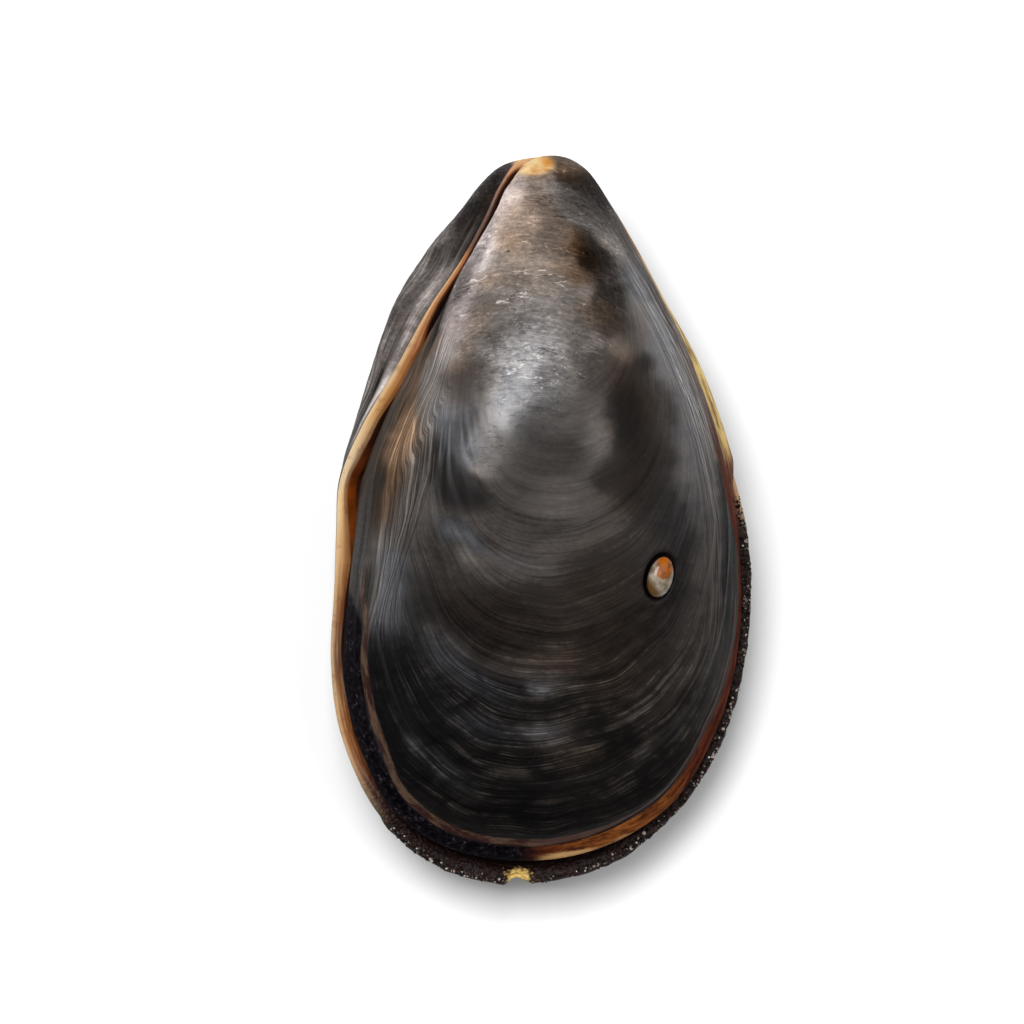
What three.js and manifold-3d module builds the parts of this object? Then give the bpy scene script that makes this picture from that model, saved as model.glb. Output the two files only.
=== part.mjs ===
// A mussel shell: two hollow valves hinged at the beak end and standing slightly ajar, the horny
// ligament strip between them, and a small pearly bead seated in a pit of the upper valve.
// Millimetres, +Z up. The shell lies on its lower valve, beak towards +Y, hinge side towards +X.
import * as THREE from "three";
import { mergeVertices } from "three/addons/utils/BufferGeometryUtils.js";
import Module from "manifold-3d";

// Driving dimensions
const WALL = 1.3; // thickness of a valve's wall
const UPPER_DOME = 12.6; // height of the upper valve's crown over its own margin
const LOWER_DOME = 12.9; // the same for the lower valve
const REST_CUT = 0.6; // depth of the flat worn on the lower valve where it rests
const MARGIN_HEIGHT = 12.95; // height of the lower margin's plane over the resting surface, at x = y = 0
const ROLL = -0.11; // rise of that plane per millimetre along +X: the ventral edge is lifted
const PITCH = 0.06; // rise of that plane per millimetre along +Y: the beak is lifted
const HINGE_GAP = 1.0; // room between the two margins along the hinge
const GAPE = Math.tan(THREE.MathUtils.degToRad(4.0)); // opening away from the hinge
const HINGE_START = new THREE.Vector2(6.7, 32.5);
const HINGE_END = new THREE.Vector2(19.6, 6.0);

// Mesh fineness
const COLUMNS = 62; // columns round a valve
const BEAK_CROWDING = 0.42; // how much closer the columns stand at the beak
const PLAIN_RINGS = 12; // evenly spaced growth stages on the outer face
const EXTRA_STAGES = [0.03, 0.985]; // more stages, by the beak and by the margin
const INNER_RINGS = 11; // growth stages on the inner face
const INNER_START = 0.16; // growth stage where the hollow begins under the beak
const INNER_SPACING = 0.9; // under 1, the inner rings stand closer together at the margin
const OUTLINE_SAMPLES = 400; // points that stand for a margin when distances to it are taken
const REACH_DIRECTIONS = 180; // directions in which the evened reach is kept
const SLOPE_STEP = 0.004; // share of the margin, or of growth, over which slopes are taken

// Margins in plan, from the beak down the ventral edge, round the back end and up the hinge side.
const LOWER_MARGIN = [
  [1.0, 37.4], [-2.4, 37.0], [-4.3, 34.6], [-5.9, 31.2], [-8.2, 27.0], [-11.8, 21.6],
  [-15.5, 14.9], [-18.6, 9.6], [-20.9, 4.0], [-21.3, -1.5], [-21.6, -8.5], [-21.9, -14.7],
  [-21.0, -22.0], [-18.1, -29.0], [-12.9, -35.1], [-5.6, -38.0], [1.8, -37.8], [8.2, -35.6],
  [13.5, -31.4], [17.6, -26.0], [20.4, -18.9], [21.8, -10.6], [21.6, -2.3], [19.3, 7.2],
  [16.0, 16.3], [11.6, 25.0], [7.6, 32.0], [4.6, 36.1],
];
const UPPER_MARGIN = [
  [2.1, 37.5], [-1.1, 37.1], [-3.0, 34.6], [-4.4, 31.2], [-6.6, 27.2], [-10.2, 21.5],
  [-13.7, 15.4], [-16.7, 9.2], [-18.7, 3.4], [-19.4, -2.4], [-20.0, -8.0], [-20.4, -12.3],
  [-20.5, -16.2], [-19.9, -19.9], [-18.7, -23.9], [-15.6, -30.0], [-10.4, -33.9], [-3.9, -35.5],
  [3.0, -35.2], [9.0, -33.1], [14.2, -29.1], [18.0, -22.8], [20.1, -16.2], [20.8, -7.4],
  [19.9, 1.5], [17.5, 10.4], [13.9, 19.8], [10.0, 27.4], [6.9, 33.0], [4.6, 36.2],
];

// Growth ledges: [growth stage, step height]. Each stands where the shell paused growing.
const LEDGES = [[0.34, 0.12], [0.5, 0.14], [0.66, 0.18], [0.79, 0.2], [0.885, 0.24], [0.963, 0.34]];
const LEDGE_RUN = 0.045; // growth over which a ledge builds up before its step
const LEDGE_EDGE = 0.006; // half the growth over which the step falls
const LEDGE_FADE = 12; // how quickly a ledge gains its height away from the margin
const LEDGE_ROOM = [6, 20]; // distance from beak to margin over which the ledges come to their height

// Shape of the dome: how full it stays before it turns down, and how steeply it then meets the
// margin. Steepness is a power, small at the flanks and larger at the two ends.
const FULLNESS = 2.3;
const STEEPNESS_MEAN = 0.63;
const STEEPNESS_SWING = 0.19;
const STEEPNESS_BEAK = -0.03;
const SOFTENING = 24; // degrees over which the crown evens out the corners of the margin

// The ventral wall leans out past its margin: it swells from the crown and draws in at the edge.
const BELLY_DIRECTION = new THREE.Vector2(-0.88, 0.47);
const BELLY_SWELL = 8;
const BELLY_DRAW_IN = 12;

const UPPER = {
  side: 1,
  margin: UPPER_MARGIN,
  beak: new THREE.Vector2(0.8, 35.2),
  crown: new THREE.Vector2(-2.6, 8.5),
  dome: UPPER_DOME,
  belly: 1.4, // how far the ventral wall leans out past its margin
  bellyRise: [-24, 8], // degrees from +Y towards the ventral side, over which it swells
  bellyFall: [14, 66], // and over which it fades again
};
const LOWER = {
  side: -1,
  margin: LOWER_MARGIN,
  beak: new THREE.Vector2(0.2, 35.4),
  crown: new THREE.Vector2(-6.6, 6.0),
  dome: LOWER_DOME,
  belly: 4.0,
  bellyRise: [-20, 6],
  bellyFall: [0, 112],
};
const LIP_WIDTH = 1.2; // width of the flat lip that faces the other valve

const BEAD_PLACE = new THREE.Vector2(10.3, -5.67); // in plan, before the dome lifts it outwards
const BEAD_SIZE = new THREE.Vector3(1.38, 2.0, 0.86); // half axes
const BEAD_TILT = -18; // degrees about the local outward direction
const BEAD_LIFT = 0.4; // how far the bead's middle stands out of the face
const PIT_MARGIN = 0.42; // how much wider the pit is than the bead
const PIT_HALF_DEPTH = 1.1;
const PIT_LIFT = 0.35;

const CHIP_PLACE = new THREE.Vector2(-2.4, -37.9); // small notch broken out of the lower rim
const CHIP_SIZE = new THREE.Vector3(1.3, 1.1, 1.4);

const LIGAMENT = {
  from: 0.795, // share of the lower margin where the strip starts
  to: 0.925,
  width: 2.3,
  thickness: 0.5,
  inset: 0.85, // how far the strip's middle line lies inside the margin
  steps: 22,
  sides: 8,
  endWidth: 0.3, // width left at the two ends, as a share
};
const CUTTER_SIZE = 200; // sides of the block that cuts the resting flat
const CUTTER_HEIGHT = 40;

const wasm = await Module();
wasm.setup();

// Closed smooth outline of a margin, sampled at shares of its length from 0 to 1.
function outlineOf(points) {
  const curve = new THREE.CatmullRomCurve3(
    points.map(([x, y]) => new THREE.Vector3(x, y, 0)), true, "centripetal");
  curve.arcLengthDivisions = 1000;
  return (share) => curve.getPointAt(((share % 1) + 1) % 1);
}

// Share of the margin's length at which a column stands; they are closer together at the beak.
function columnShare(column) {
  const u = column / COLUMNS;
  return u - (BEAK_CROWDING / (2 * Math.PI)) * Math.sin(2 * Math.PI * u);
}

// Height of the plane that holds a valve's margin, at a place in plan.
function marginPlane(valve, x, y) {
  const lower = MARGIN_HEIGHT + ROLL * x + PITCH * y;
  if (valve.side < 0) return lower;
  const along = HINGE_END.clone().sub(HINGE_START).normalize();
  const away = (x - HINGE_START.x) * along.y - (y - HINGE_START.y) * along.x;
  return lower + HINGE_GAP + GAPE * away;
}

// Unit direction out of the shell, square to a valve's margin plane.
function outwardOf(valve) {
  const level = marginPlane(valve, 0, 0);
  const slopeX = marginPlane(valve, 1, 0) - level;
  const slopeY = marginPlane(valve, 0, 1) - level;
  return new THREE.Vector3(-slopeX, -slopeY, 1).normalize().multiplyScalar(valve.side);
}

// Distance from the crown to the margin in a direction of the plan.
function reachOf(valve, dx, dy) {
  const ring = valve.outlinePoints;
  let best = Infinity;
  for (let i = 0; i < ring.length; i++) {
    const a = ring[i];
    const b = ring[(i + 1) % ring.length];
    const ex = b.x - a.x;
    const ey = b.y - a.y;
    const det = dx * ey - dy * ex;
    if (Math.abs(det) < 1e-12) continue;
    const ax = a.x - valve.crown.x;
    const ay = a.y - valve.crown.y;
    const r = (ax * ey - ay * ex) / det;
    const s = (ax * dy - ay * dx) / det;
    if (r > 0 && s >= -1e-9 && s <= 1 + 1e-9) best = Math.min(best, r);
  }
  return best;
}

// The same distance evened out over neighbouring directions, which rounds the crown.
function evenReach(valve, angle) {
  const place = (angle / (2 * Math.PI) + 1) * REACH_DIRECTIONS;
  const low = Math.floor(place);
  const at = (i) => valve.evenReaches[i % REACH_DIRECTIONS];
  return THREE.MathUtils.lerp(at(low), at(low + 1), place - low);
}

// Relief of the growth ledges at a growth stage.
function ledgeRelief(t) {
  let relief = 0;
  for (const [stage, step] of LEDGES) {
    if (t <= stage - LEDGE_EDGE) relief += step * Math.exp((t - stage + LEDGE_EDGE) / LEDGE_RUN);
    else if (t < stage + LEDGE_EDGE) relief += (step * (stage + LEDGE_EDGE - t)) / (2 * LEDGE_EDGE);
  }
  return relief;
}

// How far the wall leans towards the ventral side, at a share of the way from crown to margin.
function bellyLean(valve, angle, ratio) {
  const turn = THREE.MathUtils.radToDeg(angle);
  const window = THREE.MathUtils.smoothstep(turn, ...valve.bellyRise) *
    (1 - THREE.MathUtils.smoothstep(turn, ...valve.bellyFall));
  const peakAt = BELLY_SWELL / (BELLY_SWELL + BELLY_DRAW_IN);
  const peak = Math.pow(peakAt, BELLY_SWELL / BELLY_DRAW_IN) * (1 - peakAt);
  const profile = Math.pow(ratio, BELLY_SWELL) * (1 - Math.pow(ratio, BELLY_DRAW_IN));
  return (valve.belly * window * profile) / peak;
}

// Point of a valve's outer face: the margin shrunk towards the beak by the growth stage t, lifted
// on a dome that is steep at the flanks and shallow at the back end.
function outerPoint(valve, edge, t, withLedges = true) {
  const x = valve.beak.x + t * (edge.x - valve.beak.x);
  const y = valve.beak.y + t * (edge.y - valve.beak.y);
  const dx = x - valve.crown.x;
  const dy = y - valve.crown.y;
  const r = Math.max(1e-6, Math.hypot(dx, dy));
  const angle = Math.atan2(-dx, dy); // from +Y towards the ventral side
  const share = Math.min(1, r / reachOf(valve, dx / r, dy / r));
  const even = Math.min(1, r / evenReach(valve, angle));
  const ratio = even + (share - even) * share * share;
  const steepness = STEEPNESS_MEAN + STEEPNESS_SWING * Math.cos(2 * angle) +
    STEEPNESS_BEAK * Math.cos(angle);
  const fullness = 1 - Math.pow(ratio, FULLNESS);
  const growth = Math.hypot(edge.x - valve.beak.x, edge.y - valve.beak.y);
  const room = THREE.MathUtils.smoothstep(growth, ...LEDGE_ROOM);
  const relief = withLedges ? ledgeRelief(t) * room * Math.min(1, fullness * LEDGE_FADE) : 0;
  const height = valve.dome * Math.pow(fullness, steepness) + relief;
  const lean = bellyLean(valve, angle, ratio);
  const px = x + lean * BELLY_DIRECTION.x;
  const py = y + lean * BELLY_DIRECTION.y;
  return new THREE.Vector3(px, py, marginPlane(valve, px, py))
    .addScaledVector(valve.outward, height);
}

// Outward direction of the outer face, from small steps along both of its directions.
function outerNormal(valve, share, t) {
  const edge = valve.outline(share);
  const before = outerPoint(valve, valve.outline(share - SLOPE_STEP), t, false);
  const after = outerPoint(valve, valve.outline(share + SLOPE_STEP), t, false);
  const younger = outerPoint(valve, edge, t - SLOPE_STEP, false);
  const older = outerPoint(valve, edge, Math.min(1, t + SLOPE_STEP), false);
  return older.sub(younger).cross(after.sub(before)).normalize().multiplyScalar(valve.side);
}

// Growth stages of the outer rings: even ones, and both edges of every ledge.
function outerStages() {
  const closest = 1.5 * LEDGE_EDGE;
  const stages = [...EXTRA_STAGES];
  for (let i = 1; i <= PLAIN_RINGS; i++) stages.push(i / PLAIN_RINGS);
  for (const [stage] of LEDGES) stages.push(stage - LEDGE_EDGE, stage + LEDGE_EDGE);
  stages.sort((a, b) => a - b);
  return stages.filter((t, i) => i === stages.length - 1 || stages[i + 1] - t > closest);
}

function middleOf(ring) {
  return ring.reduce((sum, p) => sum.add(p), new THREE.Vector3()).divideScalar(ring.length);
}

// Closed solid from rings of points, each ring a loop of the same count; the first and the last
// ring are closed by a single point.
function solidFromRings(firstPole, rings, lastPole) {
  const count = rings[0].length;
  const points = [firstPole, ...rings.flat(), lastPole];
  const index = [];
  const at = (ring, k) => 1 + ring * count + (k % count);
  for (let k = 0; k < count; k++) {
    index.push(0, at(0, k), at(0, k + 1));
    for (let ring = 0; ring + 1 < rings.length; ring++) {
      const [a, b, c, d] = [at(ring, k), at(ring, k + 1), at(ring + 1, k + 1), at(ring + 1, k)];
      index.push(a, d, c, a, c, b);
    }
    index.push(points.length - 1, at(rings.length - 1, k + 1), at(rings.length - 1, k));
  }
  const geometry = new THREE.BufferGeometry().setFromPoints(points);
  geometry.setIndex(index);
  return toManifold(geometry);
}

// A manifold-3d solid from a closed geometry, its faces turned to point outwards.
function toManifold(source) {
  const bare = source.clone();
  bare.deleteAttribute("normal");
  bare.deleteAttribute("uv");
  const merged = mergeVertices(bare, 1e-5);
  const make = (triVerts) => new wasm.Manifold(new wasm.Mesh({
    numProp: 3,
    vertProperties: merged.attributes.position.array,
    triVerts,
  }));
  const faces = new Uint32Array(merged.index.array);
  const solid = make(faces);
  return solid.volume() > 0 ? solid : make(faces.reverse());
}

function toGeometry(solid) {
  const mesh = solid.getMesh();
  const geometry = new THREE.BufferGeometry();
  geometry.setAttribute("position", new THREE.BufferAttribute(mesh.vertProperties, 3));
  geometry.setIndex(new THREE.BufferAttribute(mesh.triVerts, 1));
  geometry.computeVertexNormals();
  return geometry;
}

// An ellipsoid, turned so that its local +Z follows a direction and spun about it.
function ellipsoid(centre, halfAxes, direction, spinDegrees, segments) {
  const geometry = new THREE.SphereGeometry(1, segments, Math.round(segments * 0.6));
  geometry.scale(halfAxes.x, halfAxes.y, halfAxes.z);
  geometry.rotateZ(THREE.MathUtils.degToRad(spinDegrees));
  const turn = new THREE.Quaternion().setFromUnitVectors(new THREE.Vector3(0, 0, 1), direction);
  geometry.applyQuaternion(turn);
  geometry.translate(centre.x, centre.y, centre.z);
  return toManifold(geometry);
}

// Works out what outerPoint needs of a valve: its outline, its outward direction and its reaches.
function prepare(valve) {
  valve.outline = outlineOf(valve.margin);
  valve.outlinePoints = Array.from({ length: OUTLINE_SAMPLES }, (_, i) =>
    valve.outline(i / OUTLINE_SAMPLES));
  valve.outward = outwardOf(valve);
  const reaches = Array.from({ length: REACH_DIRECTIONS }, (_, i) => {
    const turn = (2 * Math.PI * i) / REACH_DIRECTIONS;
    return reachOf(valve, -Math.sin(turn), Math.cos(turn));
  });
  const spread = (SOFTENING / 360) * REACH_DIRECTIONS;
  const half = REACH_DIRECTIONS / 2;
  valve.evenReaches = reaches.map((_, i) => {
    let sum = 0;
    let weights = 0;
    for (let k = -half; k < half; k++) {
      const weight = Math.exp(-(k * k) / (spread * spread));
      sum += weight * reaches[(i + k + REACH_DIRECTIONS) % REACH_DIRECTIONS];
      weights += weight;
    }
    return sum / weights;
  });
}

// Point of the flat lip's inner edge, in the margin plane.
function lipPoint(valve, share) {
  const edge = valve.outline(share);
  const before = valve.outline(share - SLOPE_STEP);
  const after = valve.outline(share + SLOPE_STEP);
  const inward = new THREE.Vector2(before.y - after.y, after.x - before.x).normalize();
  const x = edge.x + inward.x * LIP_WIDTH;
  const y = edge.y + inward.y * LIP_WIDTH;
  return new THREE.Vector3(x, y, marginPlane(valve, x, y));
}

// Point of the inner face: the outer face moved inwards by the wall, and never past the margin
// plane.
function innerPoint(valve, share, t) {
  const inner = outerPoint(valve, valve.outline(share), t, false)
    .addScaledVector(outerNormal(valve, share, t), -WALL);
  const base = new THREE.Vector3(inner.x, inner.y, marginPlane(valve, inner.x, inner.y));
  return inner.clone().sub(base).dot(valve.outward) < 0 ? base : inner;
}

// One valve: outer face from the beak to the margin, the flat lip, and the inner face back to the
// pole of the hollow.
function valveSolid(valve) {
  const shares = Array.from({ length: COLUMNS }, (_, k) => columnShare(k));
  const edges = shares.map((share) => valve.outline(share));
  const rings = outerStages().map((t) => edges.map((edge) => outerPoint(valve, edge, t)));
  rings.push(shares.map((share) => lipPoint(valve, share)));
  for (let i = 1; i < INNER_RINGS; i++) {
    const t = 1 - (1 - INNER_START) * Math.pow(i / (INNER_RINGS - 1), INNER_SPACING);
    rings.push(shares.map((share) => innerPoint(valve, share, t)));
  }
  const pole = middleOf(rings[rings.length - 1]);
  return solidFromRings(outerPoint(valve, edges[0], 0), rings, pole);
}

// The outer face's point and outward direction nearest to a spot in plan.
function spotOn(valve, place) {
  const dx = place.x - valve.beak.x;
  const dy = place.y - valve.beak.y;
  let best = { distance: Infinity };
  for (let i = 0; i < OUTLINE_SAMPLES; i++) {
    const share = i / OUTLINE_SAMPLES;
    const edge = valve.outline(share);
    const ex = edge.x - valve.beak.x;
    const ey = edge.y - valve.beak.y;
    const distance = Math.abs(dx * ey - dy * ex) / Math.hypot(ex, ey);
    const t = (dx * ex + dy * ey) / (ex * ex + ey * ey);
    if (t > 0 && t < 1 && distance < best.distance) best = { distance, share, t };
  }
  const point = outerPoint(valve, valve.outline(best.share), best.t);
  const normal = outerNormal(valve, best.share, best.t);
  return { point, normal };
}

// The horny strip between the two margins along the hinge, a flattened tapering ribbon.
function ligamentSolid() {
  const sections = [];
  for (let i = 0; i <= LIGAMENT.steps; i++) {
    const u = i / LIGAMENT.steps;
    const share = LIGAMENT.from + (LIGAMENT.to - LIGAMENT.from) * u;
    const edge = LOWER.outline(share);
    const ahead = LOWER.outline(share + SLOPE_STEP);
    const behind = LOWER.outline(share - SLOPE_STEP);
    const outward = new THREE.Vector2(ahead.y - behind.y, behind.x - ahead.x).normalize();
    const bulge = Math.sqrt(Math.sin(Math.PI * THREE.MathUtils.lerp(0.06, 0.94, u)));
    const taper = THREE.MathUtils.lerp(LIGAMENT.endWidth, 1, bulge);
    const cx = edge.x - outward.x * LIGAMENT.inset;
    const cy = edge.y - outward.y * LIGAMENT.inset;
    const middle = (marginPlane(LOWER, cx, cy) + marginPlane(UPPER, cx, cy)) / 2;
    sections.push(Array.from({ length: LIGAMENT.sides }, (_, k) => {
      const turn = (2 * Math.PI * k) / LIGAMENT.sides;
      const across = (LIGAMENT.width / 2) * taper * Math.cos(turn);
      const up = (LIGAMENT.thickness / 2) * taper * Math.sin(turn);
      return new THREE.Vector3(cx + outward.x * across, cy + outward.y * across, middle + up);
    }));
  }
  return solidFromRings(middleOf(sections[0]), sections, middleOf(sections.at(-1)));
}

function lookOf(color, roughness) {
  return new THREE.MeshStandardMaterial({ color, roughness, metalness: 0 });
}

function add(group, name, solid, material) {
  const mesh = new THREE.Mesh(toGeometry(solid), material);
  mesh.name = name;
  group.add(mesh);
}

prepare(UPPER);
prepare(LOWER);

const spot = spotOn(UPPER, BEAD_PLACE);
const pitCentre = spot.point.clone().addScaledVector(spot.normal, PIT_LIFT);
const pitSize = new THREE.Vector3(
  BEAD_SIZE.x + PIT_MARGIN, BEAD_SIZE.y + PIT_MARGIN, PIT_HALF_DEPTH);
const pit = ellipsoid(pitCentre, pitSize, spot.normal, BEAD_TILT, 18);
const beadCentre = spot.point.clone().addScaledVector(spot.normal, BEAD_LIFT);
const pearlBead = ellipsoid(beadCentre, BEAD_SIZE, spot.normal, BEAD_TILT, 16);
const upperValve = valveSolid(UPPER).subtract(pit);

const chipHeight = marginPlane(LOWER, CHIP_PLACE.x, CHIP_PLACE.y);
const chipCentre = new THREE.Vector3(CHIP_PLACE.x, CHIP_PLACE.y, chipHeight);
const chip = ellipsoid(chipCentre, CHIP_SIZE, new THREE.Vector3(0, 0, 1), 0, 12);
const cutter = new THREE.BoxGeometry(CUTTER_SIZE, CUTTER_SIZE, CUTTER_HEIGHT)
  .translate(0, 0, REST_CUT - CUTTER_HEIGHT / 2);
const lowerValve = valveSolid(LOWER).subtract(chip).subtract(toManifold(cutter));

const shell = new THREE.Group();
add(shell, "upper_valve", upperValve, lookOf(0x3a3734, 0.42));
add(shell, "lower_valve", lowerValve, lookOf(0x33302f, 0.5));
add(shell, "hinge_ligament", ligamentSolid(), lookOf(0xb08245, 0.5));
add(shell, "pearl_bead", pearlBead, lookOf(0xe0cdb4, 0.15));

// The middle of the shell's plan and its resting face are moved to the origin.
const bounds = new THREE.Box3().setFromObject(shell);
const middle = bounds.getCenter(new THREE.Vector3());
shell.position.set(-middle.x, -middle.y, -bounds.min.z);

export default shell;
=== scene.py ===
"""Finished look of a mussel shell lying on its lower valve: two weathered valves standing
slightly ajar, the horny hinge strip, a pearly bead in its pit and the crumbly crust of the rim."""
import math
import bpy
import numpy as np
from mathutils import Matrix


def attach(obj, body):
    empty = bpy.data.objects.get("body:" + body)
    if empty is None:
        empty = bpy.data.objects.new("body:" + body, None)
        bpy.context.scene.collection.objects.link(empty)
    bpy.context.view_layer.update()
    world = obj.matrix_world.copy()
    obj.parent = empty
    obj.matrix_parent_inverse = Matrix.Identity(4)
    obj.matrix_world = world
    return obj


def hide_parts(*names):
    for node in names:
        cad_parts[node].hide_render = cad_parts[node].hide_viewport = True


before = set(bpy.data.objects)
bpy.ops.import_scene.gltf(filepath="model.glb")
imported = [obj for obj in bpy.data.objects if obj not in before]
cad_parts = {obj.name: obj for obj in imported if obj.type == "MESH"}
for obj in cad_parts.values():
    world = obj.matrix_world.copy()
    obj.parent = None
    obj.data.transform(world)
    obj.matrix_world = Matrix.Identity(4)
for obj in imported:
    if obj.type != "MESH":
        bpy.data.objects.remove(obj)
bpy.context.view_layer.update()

MM = 0.001
SHIFT = np.array([-0.018, 0.223, -0.600])  # from the drawing's own millimetres to the frame's

# Drawing of the two valves, in millimetres
WALL = 1.3
REST_CUT = 0.6
RIM_BULGE = {1: 0.14, -1: 0.22}  # by the valve's side
MARGIN_HEIGHT, ROLL, PITCH = 12.95, -0.11, 0.06
HINGE_GAP, GAPE = 1.0, math.tan(math.radians(4.0))
HINGE_SHARES, HINGE_HALF_WIDTH = (0.780, 0.925), 1.18
HINGE_THICKNESS, HINGE_INSET = (0.30, 0.24), (0.80, 0.42)  # each: least, and what is added
HINGE_START, HINGE_END = np.array([6.7, 32.5]), np.array([19.6, 6.0])
FULLNESS, STEEP_MEAN, STEEP_SWING, STEEP_BEAK, SOFTENING = 2.3, 0.63, 0.19, -0.03, 24.0
LEDGES = ((0.34, 0.12), (0.5, 0.14), (0.66, 0.18), (0.79, 0.2), (0.885, 0.24), (0.963, 0.34))
LEDGE_RUN, LEDGE_EDGE, LEDGE_FADE, LEDGE_ROOM = 0.045, 0.006, 12, (6, 20)
BELLY_DIRECTION, BELLY_SWELL, BELLY_DRAW_IN = (-0.88, 0.47), 8, 12
BEAD_PLACE, BEAD_SIZE, BEAD_TILT = (10.35, -5.72), (1.38, 2.14, 0.9), -12.0
BEAD_LIFT, BEAD_ASIDE, BEAD_CAP = 0.34, 0.14, (-0.02, 0.50, 0.94, 0.68, 12)
PIT_ROOM, PIT_DEPTH, PIT_SWELL = 0.36, 0.85, 0.13
CHIP_PLACE, CHIP_SIZE, CHIP_CUT = (-2.4, -38.0), (1.5, 0.95, 1.5), (0.75, 0.5)
CHIP_STAIN, CHIP_CLEAR = (-2.4, -37.4, 1.2, 0.8, 0), 1.6
CRUMBS, CRUMB_SIZES, CRUMB_LIFT = 1500, (0.07, 0.20), 0.24
CRUMB_ENDS = ((-15.6, -32.4), (20.6, 2.4))

LOWER_MARGIN = (
    (1.0, 37.4), (-2.4, 37.0), (-4.3, 34.6), (-5.9, 31.2), (-8.2, 27.0), (-11.8, 21.6),
    (-15.5, 14.9), (-18.6, 9.6), (-20.9, 4.0), (-21.3, -1.5), (-21.6, -8.5), (-21.9, -14.7),
    (-21.0, -22.0), (-18.1, -29.0), (-12.9, -35.1), (-5.6, -38.0), (1.8, -37.8), (8.2, -35.6),
    (13.5, -31.4), (17.6, -26.0), (20.4, -18.9), (21.8, -10.6), (21.6, -2.3), (19.3, 7.2),
    (16.0, 16.3), (11.6, 25.0), (7.6, 32.0), (4.6, 36.1))
UPPER_MARGIN = (
    (2.1, 37.5), (-1.1, 37.1), (-3.0, 34.6), (-4.4, 31.2), (-6.6, 27.2), (-10.2, 21.5),
    (-13.7, 15.4), (-16.7, 9.2), (-18.7, 3.4), (-19.4, -2.4), (-20.0, -8.0), (-20.4, -12.3),
    (-20.5, -16.2), (-19.9, -19.9), (-18.7, -23.9), (-15.6, -30.0), (-10.4, -33.9), (-3.9, -35.5),
    (3.0, -35.2), (9.0, -33.1), (14.2, -29.1), (18.0, -22.8), (20.1, -16.2), (20.8, -7.4),
    (19.9, 1.5), (17.5, 10.4), (13.9, 19.8), (10.0, 27.4), (6.9, 33.0), (4.6, 36.2))

# Mesh of a valve: columns round it, rings of each zone, and the growth stages of its first outer
# ring and of its last inner one
COLUMNS, OUTER_RINGS, RIM_RINGS, BEVEL_RINGS, INNER_RINGS = 400, 196, 9, 4, 22
FIRST_STAGE, HOLLOW_STAGE = 0.006, 0.16


def smooth(value, low, high):
    """3f^2 - 2f^3, with f the share of the way from low to high, held between 0 and 1."""
    f = np.clip((np.asarray(value, float) - low) / (high - low), 0.0, 1.0)
    return f * f * (3 - 2 * f)


def lattice_noise(a, b, seed, period=256):
    """Random values on whole numbers of a and b, blended between them by 3f^2 - 2f^3. From -1
    to 1, and it repeats in a after the period."""
    table = np.random.RandomState(seed).uniform(-1, 1, (period, 256))
    ia, ib = np.floor(a).astype(int), np.floor(b).astype(int)
    fa, fb = smooth(a - ia, 0, 1), smooth(b - ib, 0, 1)

    def row(i):
        """Values along one row of the table, blended in b."""
        i = i % period
        return table[i, ib % 256] * (1 - fb) + table[i, (ib + 1) % 256] * fb

    return row(ia) * (1 - fa) + row(ia + 1) * fa


def noises(x, y, *layers):
    """Sum of noises in plan, each by its amount, sizes along x and y, place and seed."""
    return sum(amount * lattice_noise(x / wide + dx, y / high + dy, seed)
               for amount, wide, high, dx, dy, seed in layers)


def curve_through(points, per_span=110):
    """Closed centripetal Catmull-Rom curve: each span is a Hermite cubic whose knot gaps are the
    square roots of the chords. Gives its points and the share of the length at each."""
    p1 = np.array(points, float)
    p0, p2, p3 = np.roll(p1, 1, 0), np.roll(p1, -1, 0), np.roll(p1, -2, 0)
    d0, d1, d2 = (np.sqrt(np.linalg.norm(b - a, axis=1))[:, None]
                  for a, b in ((p0, p1), (p1, p2), (p2, p3)))
    m1 = ((p1 - p0) / d0 - (p2 - p0) / (d0 + d1) + (p2 - p1) / d1) * d1
    m2 = ((p2 - p1) / d1 - (p3 - p1) / (d1 + d2) + (p3 - p2) / d2) * d1
    w = (np.arange(per_span) / per_span)[None, :, None]
    line = ((2 * w**3 - 3 * w**2 + 1) * p1[:, None] + (w**3 - 2 * w**2 + w) * m1[:, None]
            + (3 * w**2 - 2 * w**3) * p2[:, None] + (w**3 - w**2) * m2[:, None]).reshape(-1, 2)
    line = np.vstack([line, line[:1]])
    run = np.concatenate([[0], np.cumsum(np.linalg.norm(np.diff(line, axis=0), axis=1))])
    return line, run / run[-1]


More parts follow.
